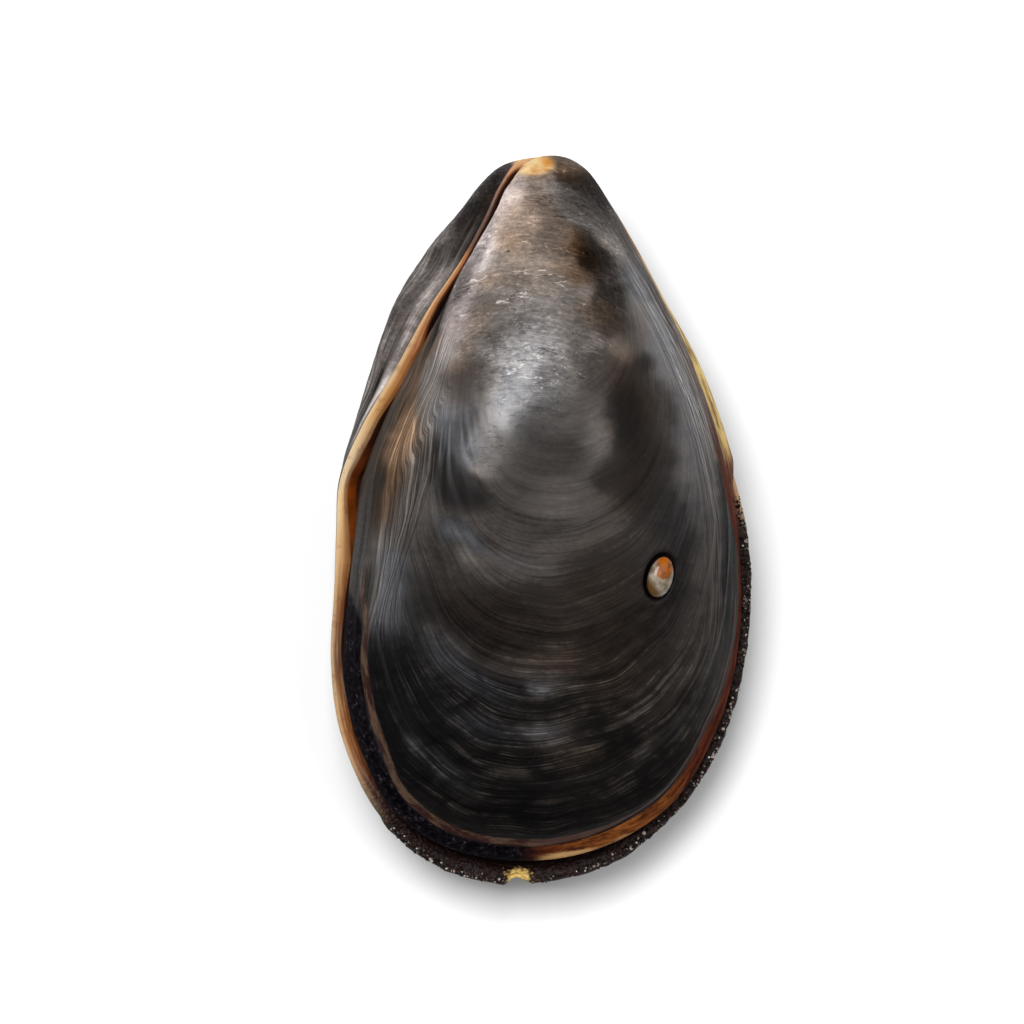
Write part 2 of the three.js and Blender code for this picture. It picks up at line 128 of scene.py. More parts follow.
class Valve:
    """One valve: its margin in plan, the plane that holds it, and how its dome is shaped. The
    side is 1 for the upper valve and -1 for the lower. The belly is how far the dome leans out on
    the ventral side, and its rise and fall are the degrees between which it comes and goes."""

    def __init__(self, side, margin, beak, crown, dome, belly, belly_rise, belly_fall):
        self.side, self.beak, self.crown, self.dome = side, beak, crown, dome
        self.belly, self.belly_rise, self.belly_fall = belly, belly_rise, belly_fall
        self.line, self.shares = curve_through(margin)
        level, step_x, step_y = (self.plane(x, y) for x, y in ((0, 0), (1, 0), (0, 1)))
        out = np.array([level - step_x, level - step_y, 1.0])
        self.outward = side * out / np.linalg.norm(out)
        turn = np.arctan2(crown[0] - self.line[:-1, 0], self.line[:-1, 1] - crown[1])
        order = np.argsort(turn)
        self.turns = turn[order]
        self.reaches = np.hypot(*(self.line[:-1] - crown).T)[order]
        degrees = np.arange(-180.0, 180.0, 0.5)
        self.even_turns = np.radians(degrees)
        plain = self.reach(self.even_turns)
        weight = np.exp(-(degrees / SOFTENING) ** 2)
        spectrum = np.fft.rfft(plain) * np.fft.rfft(np.fft.ifftshift(weight / weight.sum()))
        self.even_reaches = np.fft.irfft(spectrum, len(plain))

    def plane(self, x, y):
        """Height of the plane through the margin: level + rolls + the gape away from the hinge."""
        lower = MARGIN_HEIGHT + ROLL * x + PITCH * y
        if self.side < 0:
            return lower
        along = (HINGE_END - HINGE_START) / np.linalg.norm(HINGE_END - HINGE_START)
        away = (x - HINGE_START[0]) * along[1] - (y - HINGE_START[1]) * along[0]
        return lower + HINGE_GAP + GAPE * away

    def edge(self, share):
        """Point of the margin at a share of its length."""
        share = np.mod(share, 1.0)
        return (np.interp(share, self.shares, self.line[:, 0]),
                np.interp(share, self.shares, self.line[:, 1]))

    def inward(self, share, step=0.004):
        """Unit direction in plan, square to the margin's chord over a small step, to its inside."""
        (bx, by), (ax, ay) = self.edge(share - step), self.edge(share + step)
        across = np.stack([by - ay, ax - bx], -1)
        return across / np.linalg.norm(across, axis=-1, keepdims=True)

    def reach(self, turn):
        """Distance from the crown to the margin in a direction, from +Y towards -X."""
        return np.interp(turn, self.turns, self.reaches, period=2 * math.pi)

    def share_near(self, x, y):
        """Share of the margin's length at its point nearest to a place in plan."""
        return float(self.shares[np.argmin(np.hypot(self.line[:, 0] - x, self.line[:, 1] - y))])

    def outer(self, share, t, relief=0.0):
        """Margin shrunk towards the beak by the growth stage t, then lifted along the outward
        direction by dome * (1 - ratio^fullness)^steepness, where ratio is the share of the way
        from crown to margin; the belly leans out by ratio^8 (1 - ratio^12)."""
        ex, ey = self.edge(share)
        x = self.beak[0] + t * (ex - self.beak[0])
        y = self.beak[1] + t * (ey - self.beak[1])
        dx, dy = x - self.crown[0], y - self.crown[1]
        r = np.maximum(1e-6, np.hypot(dx, dy))
        turn = np.arctan2(-dx, dy)
        whole = np.minimum(1, r / self.reach(turn))
        even = np.minimum(1, r / np.interp(turn, self.even_turns, self.even_reaches,
                                           period=2 * math.pi))
        ratio = np.clip(even + (whole - even) * whole**2, 0, 1)
        steep = STEEP_MEAN + STEEP_SWING * np.cos(2 * turn) + STEEP_BEAK * np.cos(turn)
        full = 1 - ratio**FULLNESS
        height = self.dome * full**steep + relief * np.minimum(1, LEDGE_FADE * full)
        degrees = np.degrees(turn)
        window = smooth(degrees, *self.belly_rise) * (1 - smooth(degrees, *self.belly_fall))
        at = BELLY_SWELL / (BELLY_SWELL + BELLY_DRAW_IN)
        peak = at ** (BELLY_SWELL / BELLY_DRAW_IN) * (1 - at)
        lean = self.belly * window * ratio**BELLY_SWELL * (1 - ratio**BELLY_DRAW_IN) / peak
        x, y = x + lean * BELLY_DIRECTION[0], y + lean * BELLY_DIRECTION[1]
        base = np.stack(np.broadcast_arrays(x, y, self.plane(x, y)), axis=-1)
        return base + height[..., None] * self.outward

    def normal(self, share, t, step=0.004):
        """Outward direction: cross product of small steps along both directions of the face."""
        across = self.outer(share + step, t) - self.outer(share - step, t)
        down = self.outer(share, np.minimum(1, t + step)) - self.outer(share, t - step)
        n = np.cross(down, across) * self.side
        return n / np.linalg.norm(n, axis=-1, keepdims=True)

    def spot(self, x, y):
        """Share and growth stage at a place in plan: the margin point on the ray from the beak."""
        ex, ey = self.line[:, 0] - self.beak[0], self.line[:, 1] - self.beak[1]
        dx, dy = x - self.beak[0], y - self.beak[1]
        off = np.abs(dx * ey - dy * ex) / np.hypot(ex, ey)
        t = (dx * ex + dy * ey) / (ex * ex + ey * ey)
        best = np.argmin(np.where((t > 0) & (t < 1), off, np.inf))
        return float(self.shares[best]), float(t[best])


UPPER = Valve(1, UPPER_MARGIN, (0.8, 35.2), (-2.6, 8.5), 12.6, 1.4, (-24, 8), (14, 66))
LOWER = Valve(-1, LOWER_MARGIN, (0.2, 35.4), (-6.6, 6.0), 12.9, 4.0, (-20, 6), (0, 112))


def crowded(count, low, high, density):
    """Places from low to high whose spacing is the inverse of a density: equal steps of its
    running sum."""
    x = np.linspace(low, high, 6001)
    run = np.concatenate([[0], np.cumsum((density(x[1:]) + density(x[:-1])) / 2)])
    return np.interp(np.linspace(0, run[-1], count), run, x)


def hump(x, centre, width):
    """exp(-((x - centre) / width)^2)."""
    return np.exp(-(((x - centre) / width) ** 2))


def soft_spot(x, y, spot):
    """Oval mask exp(-(a/rx)^2 - (b/ry)^2), with a and b along axes turned by some degrees."""
    cx, cy, rx, ry, turn = spot
    c, s = math.cos(math.radians(turn)), math.sin(math.radians(turn))
    a, b = (x - cx) * c + (y - cy) * s, (y - cy) * c - (x - cx) * s
    return np.exp(-((a / rx) ** 2) - (b / ry) ** 2)


def spots(x, y, *all_spots):
    """Sum of oval masks, held to at most 1."""
    return np.minimum(1, sum(soft_spot(x, y, s[:5]) * (s[5] if len(s) > 5 else 1.0)
                             for s in all_spots))


def along_path(x, y, path, width):
    """exp(-(d / width)^2), with d the distance to a path of straight pieces."""
    best = np.full(np.shape(x), np.inf)
    for (ax, ay), (bx, by) in zip(path[:-1], path[1:]):
        ux, uy = bx - ax, by - ay
        f = np.clip(((x - ax) * ux + (y - ay) * uy) / (ux * ux + uy * uy), 0, 1)
        best = np.minimum(best, np.hypot(x - ax - f * ux, y - ay - f * uy))
    return np.exp(-((best / width) ** 2))


def paint(x, y, base, strokes, hold=0.12):
    """Blend of strokes (x, y, half width, half length, turn in degrees, value): each value is
    weighted by its soft oval, the base by a small constant, at places shaken by two noises."""
    wx = x + noises(x, y, (0.55, 2.7, 2.1, 21, 25, 61), (0.22, 0.9, 0.7, 41, 69, 62))
    wy = y + noises(x, y, (0.45, 3.1, 1.9, 33, 55, 63), (0.18, 1.1, 0.6, 51, 79, 64))
    weight, total = hold, hold * base
    for stroke in strokes:
        w = soft_spot(wx, wy, stroke[:5])
        weight, total = weight + w, total + w * stroke[5]
    return total / weight


def from_bottom(x, y):
    """Degrees round the shell from the middle of its back end, positive towards the hinge."""
    return np.degrees(np.arctan2(x, -(y + 10.0)))


def ledge_relief(share, t):
    """Each ledge builds up as exp((t - stage) / run) and falls off over a small step. Its stage
    and height wander a little round the valve."""
    relief = np.zeros(np.broadcast(share, t).shape)
    for k, (stage, step) in enumerate(LEDGES):
        s = stage + 0.004 * lattice_noise(share * 14, 0.5, 11 + k, 14)
        height = step * (1 + 0.35 * lattice_noise(share * 9, 0.5, 31 + k, 9))
        rise = np.exp(np.minimum(0, t - s + LEDGE_EDGE) / LEDGE_RUN)
        fall = np.clip((s + LEDGE_EDGE - t) / (2 * LEDGE_EDGE), 0, 1)
        relief = relief + height * rise * fall
    return relief


def fine_relief(share, t, run, x, y):
    """Growth lines as noise drawn out round the valve, at three spacings, a slow unevenness of
    the whole dome, and short transverse wrinkles near the beak."""
    lines = (0.040 * lattice_noise(share * 30, t * 46, 3, 30)
             + 0.026 * lattice_noise(share * 46, t * 90, 4, 46)
             + 0.014 * lattice_noise(share * 60, t * 150, 5, 60))
    slow = noises(x, y, (0.11, 7, 6, 9, 9, 6), (0.05, 3.1, 2.4, 9, 20, 7))
    wrinkle = noises(x, y, (0.018, 1.9, 0.9, 40, 80, 8), (0.010, 1.0, 0.6, 60, 120, 9))
    near_beak = 1 - smooth(run, 20, 36)
    return lines * smooth(run, 1.5, 8) + slow * smooth(run, 2, 8) + wrinkle * near_beak


def put_mesh(name, points, faces, uvs=None, values=None, slots=None):
    """Object at the origin from points in millimetres of the drawing and faces as index rows,
    turned to point outwards by the sign of the volume they enclose."""
    points = (points + SHIFT) * MM
    a, b, c = (points[faces[:, k]] for k in (0, 1, 2))
    volume = np.einsum("ij,ij->i", a, np.cross(b, c)).sum()
    if faces.shape[1] == 4:
        d = points[faces[:, 3]]
        volume += np.einsum("ij,ij->i", a, np.cross(c, d)).sum()
    if volume < 0:
        faces = faces[:, ::-1]
        uvs = uvs[:, ::-1] if uvs is not None else None
    mesh = bpy.data.meshes.new(name)
    rows = [list(dict.fromkeys(row)) for row in faces.tolist()]
    mesh.from_pydata(points.tolist(), [], rows)
    if uvs is not None:
        keep = np.ones(faces.shape, bool)
        for k in range(1, faces.shape[1]):
            keep[:, k] = ~(faces[:, k:k + 1] == faces[:, :k]).any(axis=1)
        layer = mesh.uv_layers.new(name="growth")
        layer.data.foreach_set("uv", uvs[keep].astype(np.float32).ravel())
    for key, value in (values or {}).items():
        mesh.attributes.new(key, "FLOAT", "POINT").data.foreach_set(
            "value", np.asarray(value, np.float32))
    if slots is not None:
        mesh.polygons.foreach_set("material_index", np.asarray(slots, np.int32))
    mesh.polygons.foreach_set("use_smooth", np.ones(len(mesh.polygons), bool))
    mesh.update()
    piece = bpy.data.objects.new(name, mesh)
    bpy.context.scene.collection.objects.link(piece)
    return piece


def ring_faces(rings, count, first_pole, last_pole):
    """Quads between neighbouring rings of a closed tube, and fans to a pole at each end, as rows
    of four where a fan's row repeats its pole. Also gives ring and column of every corner."""
    k = np.arange(count)
    nxt = (k + 1) % count
    ring = np.arange(rings - 1)[:, None]
    a, b = ring * count + k, ring * count + nxt
    c, d = (ring + 1) * count + nxt, (ring + 1) * count + k
    quads = np.stack([a, d, c, b], -1).reshape(-1, 4)
    rows = np.stack(np.broadcast_arrays(ring, ring + 1, ring + 1, ring), -1)
    rows = np.broadcast_to(rows, (rings - 1, count, 4)).reshape(-1, 4)
    cols = np.broadcast_to(np.stack([k, k, k + 1, k + 1], -1), (rings - 1, count, 4)).reshape(-1, 4)
    top = np.stack([np.full(count, first_pole), k, nxt, np.full(count, first_pole)], -1)
    last = (rings - 1) * count
    end = np.stack([last + k, np.full(count, last_pole), last + nxt, last + k], -1)
    faces = np.vstack([top, quads, end])
    rows = np.vstack([np.tile([-1, 0, 0, -1], (count, 1)), rows,
                      np.tile([rings - 1, rings, rings - 1, rings - 1], (count, 1))])
    cols = np.vstack([np.stack([k, k, k + 1, k], -1), cols, np.stack([k, k, k + 1, k], -1)])
    return faces, rows, cols


LIP_BY_HEIGHT = (
    (-32.0, 1.6), (-27.2, 1.6), (-23.1, 1.3), (-18.9, 1.3), (-14.8, 1.1), (-8.5, 1.1), (-4.4, 1.5),
    (-0.5, 1.05), (3.5, 0.75), (5.0, 0.78), (6.4, 1.0), (8.8, 1.15), (11.0, 1.15), (14.4, 1.4),
    (18.5, 1.35), (20.5, 0.85), (22.7, 0.6), (27.0, 0.5), (30.0, 0.4), (37.0, 0.4))


def lip_width(valve, share, x, y):
    """Width of the rim between the two faces: on the ventral side it follows a table by height,
    elsewhere it is even, and it wanders a little."""
    if valve.side > 0:
        return np.full(x.shape, 1.2)
    heights, widths = np.array(LIP_BY_HEIGHT).T
    ventral = np.where(y > 0, smooth(-x, 0.6, 4), smooth(-x, 2, 8))
    width = 1.3 + ventral * (np.interp(y, heights, widths) - 1.3)
    return width + 0.05 * lattice_noise(share * 26, 3, 57, 26)


def bevel_width(valve, x, y):
    """Width of the slope inside the rim: broad where the open ventral wedge shows it."""
    if valve.side > 0:
        return np.full(x.shape, 0.15)
    return 0.5 + 0.9 * (x < 0) * smooth(y, -10, 0) * (1 - smooth(y, 6, 12))


BEAD_SHARE, BEAD_STAGE = UPPER.spot(*BEAD_PLACE)
BEAD_POINT = UPPER.outer(np.array(BEAD_SHARE), np.array(BEAD_STAGE),
                         ledge_relief(np.array(BEAD_SHARE), np.array(BEAD_STAGE)))
BEAD_NORMAL = UPPER.normal(np.array(BEAD_SHARE), np.array(BEAD_STAGE))


def bead_axes():
    """The bead's own axes: length and width turned about the outward direction of the face."""
    side = np.cross([0.0, 1.0, 0.0], BEAD_NORMAL)
    side /= np.linalg.norm(side)
    up = np.cross(BEAD_NORMAL, side)
    c, s = math.cos(math.radians(BEAD_TILT)), math.sin(math.radians(BEAD_TILT))
    return side * c + up * s, up * c - side * s


def pit_relief(points):
    """Round the bead the face sinks by a smooth step of its oval distance, inside a low swollen
    ring."""
    wide, long = bead_axes()
    d = points - BEAD_POINT
    oval = np.hypot(d @ wide / (BEAD_SIZE[0] + PIT_ROOM), d @ long / (BEAD_SIZE[1] + PIT_ROOM))
    near = np.abs(d @ BEAD_NORMAL) < 3
    sink = -PIT_DEPTH * (1 - smooth(oval, 0.72, 1.06))
    ring = PIT_SWELL * hump(oval, 1.22, 0.2)
    return np.where(near, sink + ring, 0.0), np.where(near, oval, 9.0)


def crust_share(valve, ex, ey):
    """How crusty the rim is: 1 round the back end of the lower valve, by smooth steps."""
    turn = from_bottom(ex, ey)
    if valve.side > 0:
        return 0 * turn
    return smooth(turn, -56, -34) * (1 - smooth(turn, 110, 120))


def rim_rings(valve, share, crusty):
    """Rim from the outer edge inwards: a roll standing proud by (2.6 sin(pi f^0.75))^0.6, held at
    1, rough where it is crusty, then the slope inside it. Also where its rings are on the map."""
    ex, ey = valve.edge(share)
    f = np.linspace(0, 1, RIM_RINGS + 2)[1:, None]
    f = np.vstack([f, np.ones((BEVEL_RINGS, 1))])
    down = np.clip(np.arange(len(f)) - RIM_RINGS, 0, BEVEL_RINGS)[:, None] / BEVEL_RINGS
    bevel = bevel_width(valve, ex, ey)
    across = lip_width(valve, share, ex, ey) * f**1.3 + bevel * down
    bulge = RIM_BULGE[valve.side] * np.minimum(1, 2.6 * np.sin(math.pi * f**0.75)) ** 0.6
    xy = np.stack([ex, ey], -1) + valve.inward(share) * across[..., None]
    rim = np.concatenate([xy, valve.plane(xy[..., 0], xy[..., 1])[..., None]], -1)
    rough = (0.16 * lattice_noise(share * 330, f * 4, 51, 330)
             + 0.12 * lattice_noise(share * 170, f * 3 + 5, 52, 170)) * np.sin(math.pi * f)
    wavy = 0.05 * lattice_noise(share * 60, f * 2 + 9, 53, 60)
    lift = bulge * (1 + wavy * 4) + rough * crusty - 0.9 * bevel * down**1.4
    return rim - (lift[..., None] * valve.outward), (1 + 0.1 * f + 0.05 * down)[:, 0]


def inside_rings(valve, share):
    """Inner face: the outer one moved in by the wall, and never past the margin's plane, from the
    margin back to the hollow's pole. Also where its rings are on the map."""
    back = np.arange(1, INNER_RINGS + 1) / INNER_RINGS
    stages = 1 - (1 - HOLLOW_STAGE) * back**1.15
    u, t = np.meshgrid(share, stages)
    inner = valve.outer(u, t) - WALL * valve.normal(u, t)
    base = inner.copy()
    base[..., 2] = valve.plane(inner[..., 0], inner[..., 1])
    below = ((inner - base) @ valve.outward) < 0
    return np.where(below[..., None], base, inner), 1.15 + (1 - stages)


def valve_piece(name, valve, masks):
    """Closed mesh of a valve: outer face from beak to margin with its relief, a rounded rim with
    a slope inside it, and the inner face, one wall thickness inside, back to the pole of the
    hollow. Columns and rings crowd by humps where the bead, the chip and the ledges are."""
    upper = valve.side > 0
    chip_share = LOWER.share_near(*CHIP_PLACE)

    def column_density(u):
        """More columns by the beak, and a hump at the bead or at the chip."""
        base = 1 / (1 - 0.42 * np.cos(2 * math.pi * u))
        extra = 1.6 * hump(u, BEAD_SHARE, 0.018) if upper else 1.4 * hump(u, chip_share, 0.014)
        return base + extra

    def ring_density(t):
        """A hump at each ledge, at the margin and at the bead."""
        extra = sum(1.6 * hump(t, stage, 0.012) for stage, _ in LEDGES)
        return 1 + extra + 1.5 * hump(t, 1, 0.03) + (1.6 * hump(t, BEAD_STAGE, 0.03) if upper else 0)

    share = crowded(COLUMNS + 1, 0, 1, column_density)[:-1]
    stages = crowded(OUTER_RINGS, FIRST_STAGE, 1.0, ring_density)
    u, t = np.meshgrid(share, stages)
    ex, ey = valve.edge(share)
    run = np.hypot(ex - valve.beak[0], ey - valve.beak[1])
    outer = valve.outer(u, t, ledge_relief(u, t) * smooth(run, *LEDGE_ROOM))
    normals = valve.normal(u, t)
    x, y = outer[..., 0], outer[..., 1]
    gone = t * run
    fade = 1 - smooth(t, 0.985, 1.0) * 0.8
    relief = fine_relief(u + (0 if upper else 0.37), t, gone, x, y) * fade

    # Depth from the margin, square to it, and what the masks and the pit add to the relief
    inward = valve.inward(share)
    aside = np.abs((ex - valve.beak[0]) * inward[:, 0] + (ey - valve.beak[1]) * inward[:, 1])
    deep = (1 - t) * aside
    extra, own = masks(x, y, gone, deep)
    relief = relief + extra
    oval = np.full(t.shape, 9.0)
    if upper:
        sink, oval = pit_relief(outer)
        relief = relief * smooth(oval, 0.8, 1.5) + sink
    outer = outer + relief[..., None] * normals

    # Flaked outer edge, rim and inside
    crusty = crust_share(valve, ex, ey)
    flake = crusty * (0.12 * lattice_noise(share * 300, 3, 54, 300)
                      + 0.10 * lattice_noise(share * 120, 7, 55, 120))
    outer[-1, :, :2] -= inward * np.clip(flake + 0.04 * crusty, 0, 0.3)[:, None]
    rim, rim_map = rim_rings(valve, share, crusty)
    inner, inner_map = inside_rings(valve, share)

    # All points, with the chip cut out and the rest worn flat on the lower valve
    rings = np.concatenate([outer, rim, inner])
    first = valve.outer(np.array(0.0), np.array(0.0))
    points = np.vstack([rings.reshape(-1, 3), first, inner[-1].mean(axis=0)])
    if not upper:
        q = (points - [*CHIP_PLACE, valve.plane(*CHIP_PLACE)]) / CHIP_SIZE
        dent = np.clip(1 - np.linalg.norm(q, axis=1) ** 2, 0, 1)
        points[:, 1] += CHIP_CUT[0] * dent
        points[:, 2] -= CHIP_CUT[1] * dent
        points[:, 2] = np.maximum(points[:, 2], REST_CUT)

    # Faces, growth map and masks: the rim and the inside repeat the margin's masks
    total = len(rings)
    faces, rows, cols = ring_faces(total, COLUMNS, total * COLUMNS, total * COLUMNS + 1)
    u_at = np.append(share, 1.0)
    v_at = np.concatenate([[0.0], stages, rim_map, inner_map, [2.0]])
    uvs = np.stack([u_at[np.minimum(cols, COLUMNS)], v_at[rows + 1]], -1)
    values = {}
    for key, grid in dict(own, oval=np.clip(oval, 0, 9), crust=crusty, deep=deep).items():
        grid = np.broadcast_to(grid, t.shape)
        rest = np.broadcast_to(grid[-1], (total - OUTER_RINGS, COLUMNS))
        values[key] = np.append(np.concatenate([grid, rest]).ravel(), [float(grid[0, 0]), 0.0])
    chip = soft_spot(points[:, 0], points[:, 1], CHIP_STAIN)
    values["chip"] = chip * (0.0 if upper else 1.0)
    corner = rows.max(axis=1)
    slots = np.where(corner < OUTER_RINGS, 0, np.where(corner < OUTER_RINGS + len(rim), 1, 2))
    return put_mesh(name, points, faces, uvs, values, slots)


# Strokes on the upper valve, in millimetres of the drawing: x, y, half width, half length, turn
# in degrees, and a lightness from 0, black, to 1, nearly white.
TONE = (
    # worn skin by the beak; the two brightest strokes, on its left edge, are partly a painted sheen
    (-3.6, 32.7, 1.1, 2, -30, 1.04), (-6.1, 28, 1.3, 2.4, -30, 1.04), (-9.3, 23.4, 0.6, 2.2, -24, 0.62),
    (-2, 20.8, 1.6, 0.9, 0, 0.62), (-8.2, 20.4, 1, 1.4, -20, 0.78), (-9.4, 16.4, 1, 1.8, -16, 0.74),
    (-11, 11.6, 1, 2.2, -8, 0.66), (-10, 18.2, 1, 2, -20, 0.76), (-11.2, 14.4, 0.9, 2, -12, 0.60),
    (-11.8, 9.4, 0.9, 2.6, -8, 0.52), (-12.4, 3.2, 1, 2.6, 0, 0.46), (-12.6, -2.4, 1, 2, 0, 0.42),
    (-1.2, 34.2, 2.2, 0.9, 0, 0.62), (-2.8, 31.2, 1.6, 1.6, -20, 0.74), (0.4, 32.2, 2, 1.4, 0, 0.56),
    (1.6, 29.6, 2.4, 1.6, 0, 0.54), (-0.8, 30.7, 0.7, 0.4, 20, 0.86), (-3, 28.7, 1.4, 1.3, 0, 0.72),
    (-2.4, 26.9, 3.2, 0.7, 0, 0.68), (1.8, 27.6, 1.6, 0.9, 0, 0.46), (5.5, 27, 2, 1.5, 0, 0.08),
    (4.4, 29.4, 1.2, 0.8, -30, 0.25), (3.2, 34.8, 1.4, 0.9, -20, 0.22), (5.2, 33.4, 1.4, 1.6, 35, 0.26),
    (8.6, 30.2, 0.7, 2.2, 28, 0.52), (10.8, 25.4, 0.7, 2.6, 24, 0.56), (2.9, 36.8, 1.8, 0.8, -25, 0.62),
    (2.5, 32.2, 1.1, 0.9, 30, 0.36), (4.4, 31.6, 0.6, 3, 48, 0.44), (7.5, 28.6, 0.8, 2.2, 30, 0.74),
    (6.7, 30.8, 0.7, 1.4, 30, 0.34), (-5.6, 24.6, 1.5, 0.8, 0, 0.68), (-3, 24.2, 1.2, 0.8, 0, 0.58),
    (-0.6, 23.4, 2.6, 1.8, 0, 0.62), (1.8, 25.8, 2, 0.8, -15, 0.66), (3.1, 24.8, 1.7, 0.7, -15, 0.46),
    (4.2, 23.4, 1, 0.9, 0, 0.60), (2.7, 22.2, 1, 1.3, 0, 0.52), (7.2, 23.8, 1.6, 3.2, 15, 0.21),
    (6.8, 20.3, 2.3, 1.4, 0, 0.36), (-5.8, 21.7, 1.6, 0.8, 10, 0.52), (-6.8, 20, 1.6, 1, 15, 0.60),
    (-7.4, 17.4, 1.8, 0.9, 10, 0.60), (-5.1, 17.6, 0.8, 0.5, 0, 0.50), (-3.2, 20, 2, 1.4, 0, 0.50),
    (-5.6, 18.8, 1.2, 0.8, 0, 0.42), (0.6, 20.4, 2.2, 1.4, 0, 0.60), (3.4, 20.6, 1.2, 1.6, 0, 0.52),
    (-8.1, 14.4, 2.2, 1.8, 20, 0.42),
    # crown, worn smooth; its light strokes are largely a painted highlight, the rest pale worn skin
    (-1.2, 16.6, 2.8, 2, -10, 0.68), (-3, 13.4, 2.6, 2.4, 20, 0.78), (-4.3, 10.8, 1.5, 1.7, 20, 0.78),
    (1.6, 14.2, 1.8, 2, 0, 0.58), (3.7, 17.8, 0.8, 1.2, 0, 0.46), (5, 17.8, 0.9, 0.8, 0, 0.60),
    (8.2, 17.4, 1.2, 1.1, 0, 0.58), (6.1, 14.9, 2.2, 1.5, 0, 0.38), (2.6, 11, 2.4, 1.8, 25, 0.46),
    (-1.1, 9.8, 1.4, 1, 20, 0.34), (1, 7, 2.2, 1.6, 20, 0.32), (-5.8, 6.2, 1.3, 2, -10, 0.62),
    (-4, 7.4, 1.6, 1.4, 0, 0.46), (-9.8, 11.2, 1.3, 1.6, 10, 0.58), (-8.9, 8, 1.2, 1.3, 10, 0.48),
    (-10.4, 5.4, 1.3, 2.4, 25, 0.18), (-8.2, 3, 1.9, 1.2, -20, 0.08), (9, 10.4, 1.5, 3.2, 0, 0.13),
    (10.9, 16, 0.7, 0.9, 0, 0.20), (9.8, 4.4, 2, 2.3, 0, 0.20), (5.6, 8, 1.1, 2.2, 0, 0.54),
    (6.8, 4, 1, 1.6, 0, 0.26), (2.2, 2, 2.6, 1.6, 0, 0.48), (-3.4, 3.2, 2.4, 1.2, 0, 0.34),
    # dome below the crown
    (-8.2, -1.8, 1.8, 0.5, -34, 0.56), (-7, -3.5, 1.6, 0.8, -30, 0.50), (-4.6, -0.8, 3.4, 1, -6, 0.38),
    (-1.6, -4.8, 3.6, 1.5, 6, 0.45), (4.8, -1, 3, 1.8, 30, 0.42), (-10.6, -4, 1.4, 2.8, 20, 0.28),
    (-4.8, -10.6, 5, 2.2, -6, 0.18), (4, -7, 4.2, 2.2, 26, 0.27), (-10.2, -13.3, 2.1, 1.3, -42, 0.40),
    (-7.4, -16.2, 3, 0.9, -34, 0.26), (0.6, -14.6, 3.4, 1.1, 0, 0.42), (0, -17, 1.8, 0.5, 0, 0.46),
    (7, -14, 3.6, 2.6, 30, 0.24), (-4, -19.6, 4.8, 0.9, -6, 0.16), (-5.9, -21.5, 2.4, 0.9, -22, 0.28),
    (0.2, -21.8, 2.2, 1.2, 0, 0.42), (3.3, -24.8, 1.6, 1, 10, 0.28), (5.6, -27.6, 3.4, 1.2, 16, 0.20),
    (10.6, -23.6, 1.5, 0.6, 42, 0.34), (-9.7, -26, 2.6, 0.8, -36, 0.26), (-3.5, -26.6, 1.6, 0.5, 0, 0.34),
    (-13.2, -23, 1.2, 0.5, -50, 0.36),
    # flanks, with strands; their lighter strokes are partly a painted sheen
    (-16.4, -6, 1.8, 4.6, 6, 0.56), (-14.9, 1, 1.6, 3, 0, 0.48), (-15.6, -15.6, 2.4, 2.6, 20, 0.10),
    (10.8, 7, 1.3, 6, 8, 0.22), (13.6, -2, 1.7, 5, 0, 0.24), (14.8, 13.6, 1.2, 5.6, 17, 0.66),
    (11.4, 11, 0.9, 4.6, 10, 0.36), (15.6, 5, 1.4, 4.4, 9, 0.56), (16.9, -3, 1.2, 4.4, 0, 0.42),
    (19.3, -2, 0.7, 8, 0, 0.10), (16, -12, 1.8, 5, -12, 0.33), (13.4, -19.6, 3, 3, -30, 0.24),
    (10.6, 21.5, 1.4, 4.6, 20, 0.66),
    # beyond the ridge
    (-6.6, 26.8, 0.5, 3, -26, 0.42), (-11, 20.4, 0.9, 3.4, -26, 0.46), (-13.4, 14, 0.9, 2.6, -24, 0.46),
    (-14.6, 7.6, 1.5, 3.6, -12, 0.70), (-16.8, 5, 0.8, 3, -14, 0.20), (-17.8, -2, 0.8, 5, 0, 0.16),
    (-15.9, 10, 0.9, 2.8, -24, 0.16), (-18.5, -4.4, 0.8, 3.8, -4, 0.04), (-18.6, -9, 0.5, 5, 0, 0.22))
# Strokes of warmth, of coolness and of sheen, in the same form
WARM = (
    (1, 31, 3.6, 3, 0, 0.75), (-2.2, 30.6, 1.6, 1.2, 0, 0.7), (-3, 28.4, 1.4, 1.4, 0, 0.9),
    (-1.2, 25.2, 3.4, 1.8, 0, 0.6), (1.6, 35.6, 2.6, 1.2, -10, 1.2), (-7.4, 19.6, 2, 1.4, 0, 0.8),
    (5.2, 27.6, 2.2, 1.8, 0, 1.5), (3.1, 25, 1.9, 0.8, -15, 1.1), (-5.8, 24.6, 1.6, 0.8, 0, 0.8),
    (-6.2, 20.6, 2, 1.6, 10, 0.7), (-8.1, 14.6, 2.2, 1.8, 20, 0.9), (6.4, 20.6, 2.6, 1.6, 0, 0.8),
    (-7.8, 17.2, 0.9, 0.5, 0, 1), (4.6, 15.8, 2.6, 2.2, 0, 0.4), (8.6, 14.6, 1.6, 2.6, 0, 0.8),
    (9.3, 10, 1.9, 3.6, 0, 0.9), (9.4, 4, 2.4, 2.6, 0, 0.8), (-4.8, -10.6, 5.4, 2.6, -6, 0.75),
    (4, -7, 5, 3, 26, 0.55), (0.6, -14.4, 3.6, 1.3, 0, 0.8), (7, -14, 4, 3, 30, 0.55),
    (3.3, -24.8, 1.8, 1.2, 10, 0.6), (-7.1, -3.5, 1.4, 0.6, -30, 0.5), (-1.5, 16, 3.6, 3, 0, 0.1),
    (-4.4, 10, 2.4, 3.6, 0, 0), (-15.2, 7.6, 1.7, 5, -12, 1.3), (-12.8, 16.4, 1, 4, -26, 1.4),
    (-17.6, 3, 1.5, 4, -8, 1.8), (-19, -7, 0.9, 4, 0, 1.6), (-17.8, -3, 0.7, 5, 0, 1))
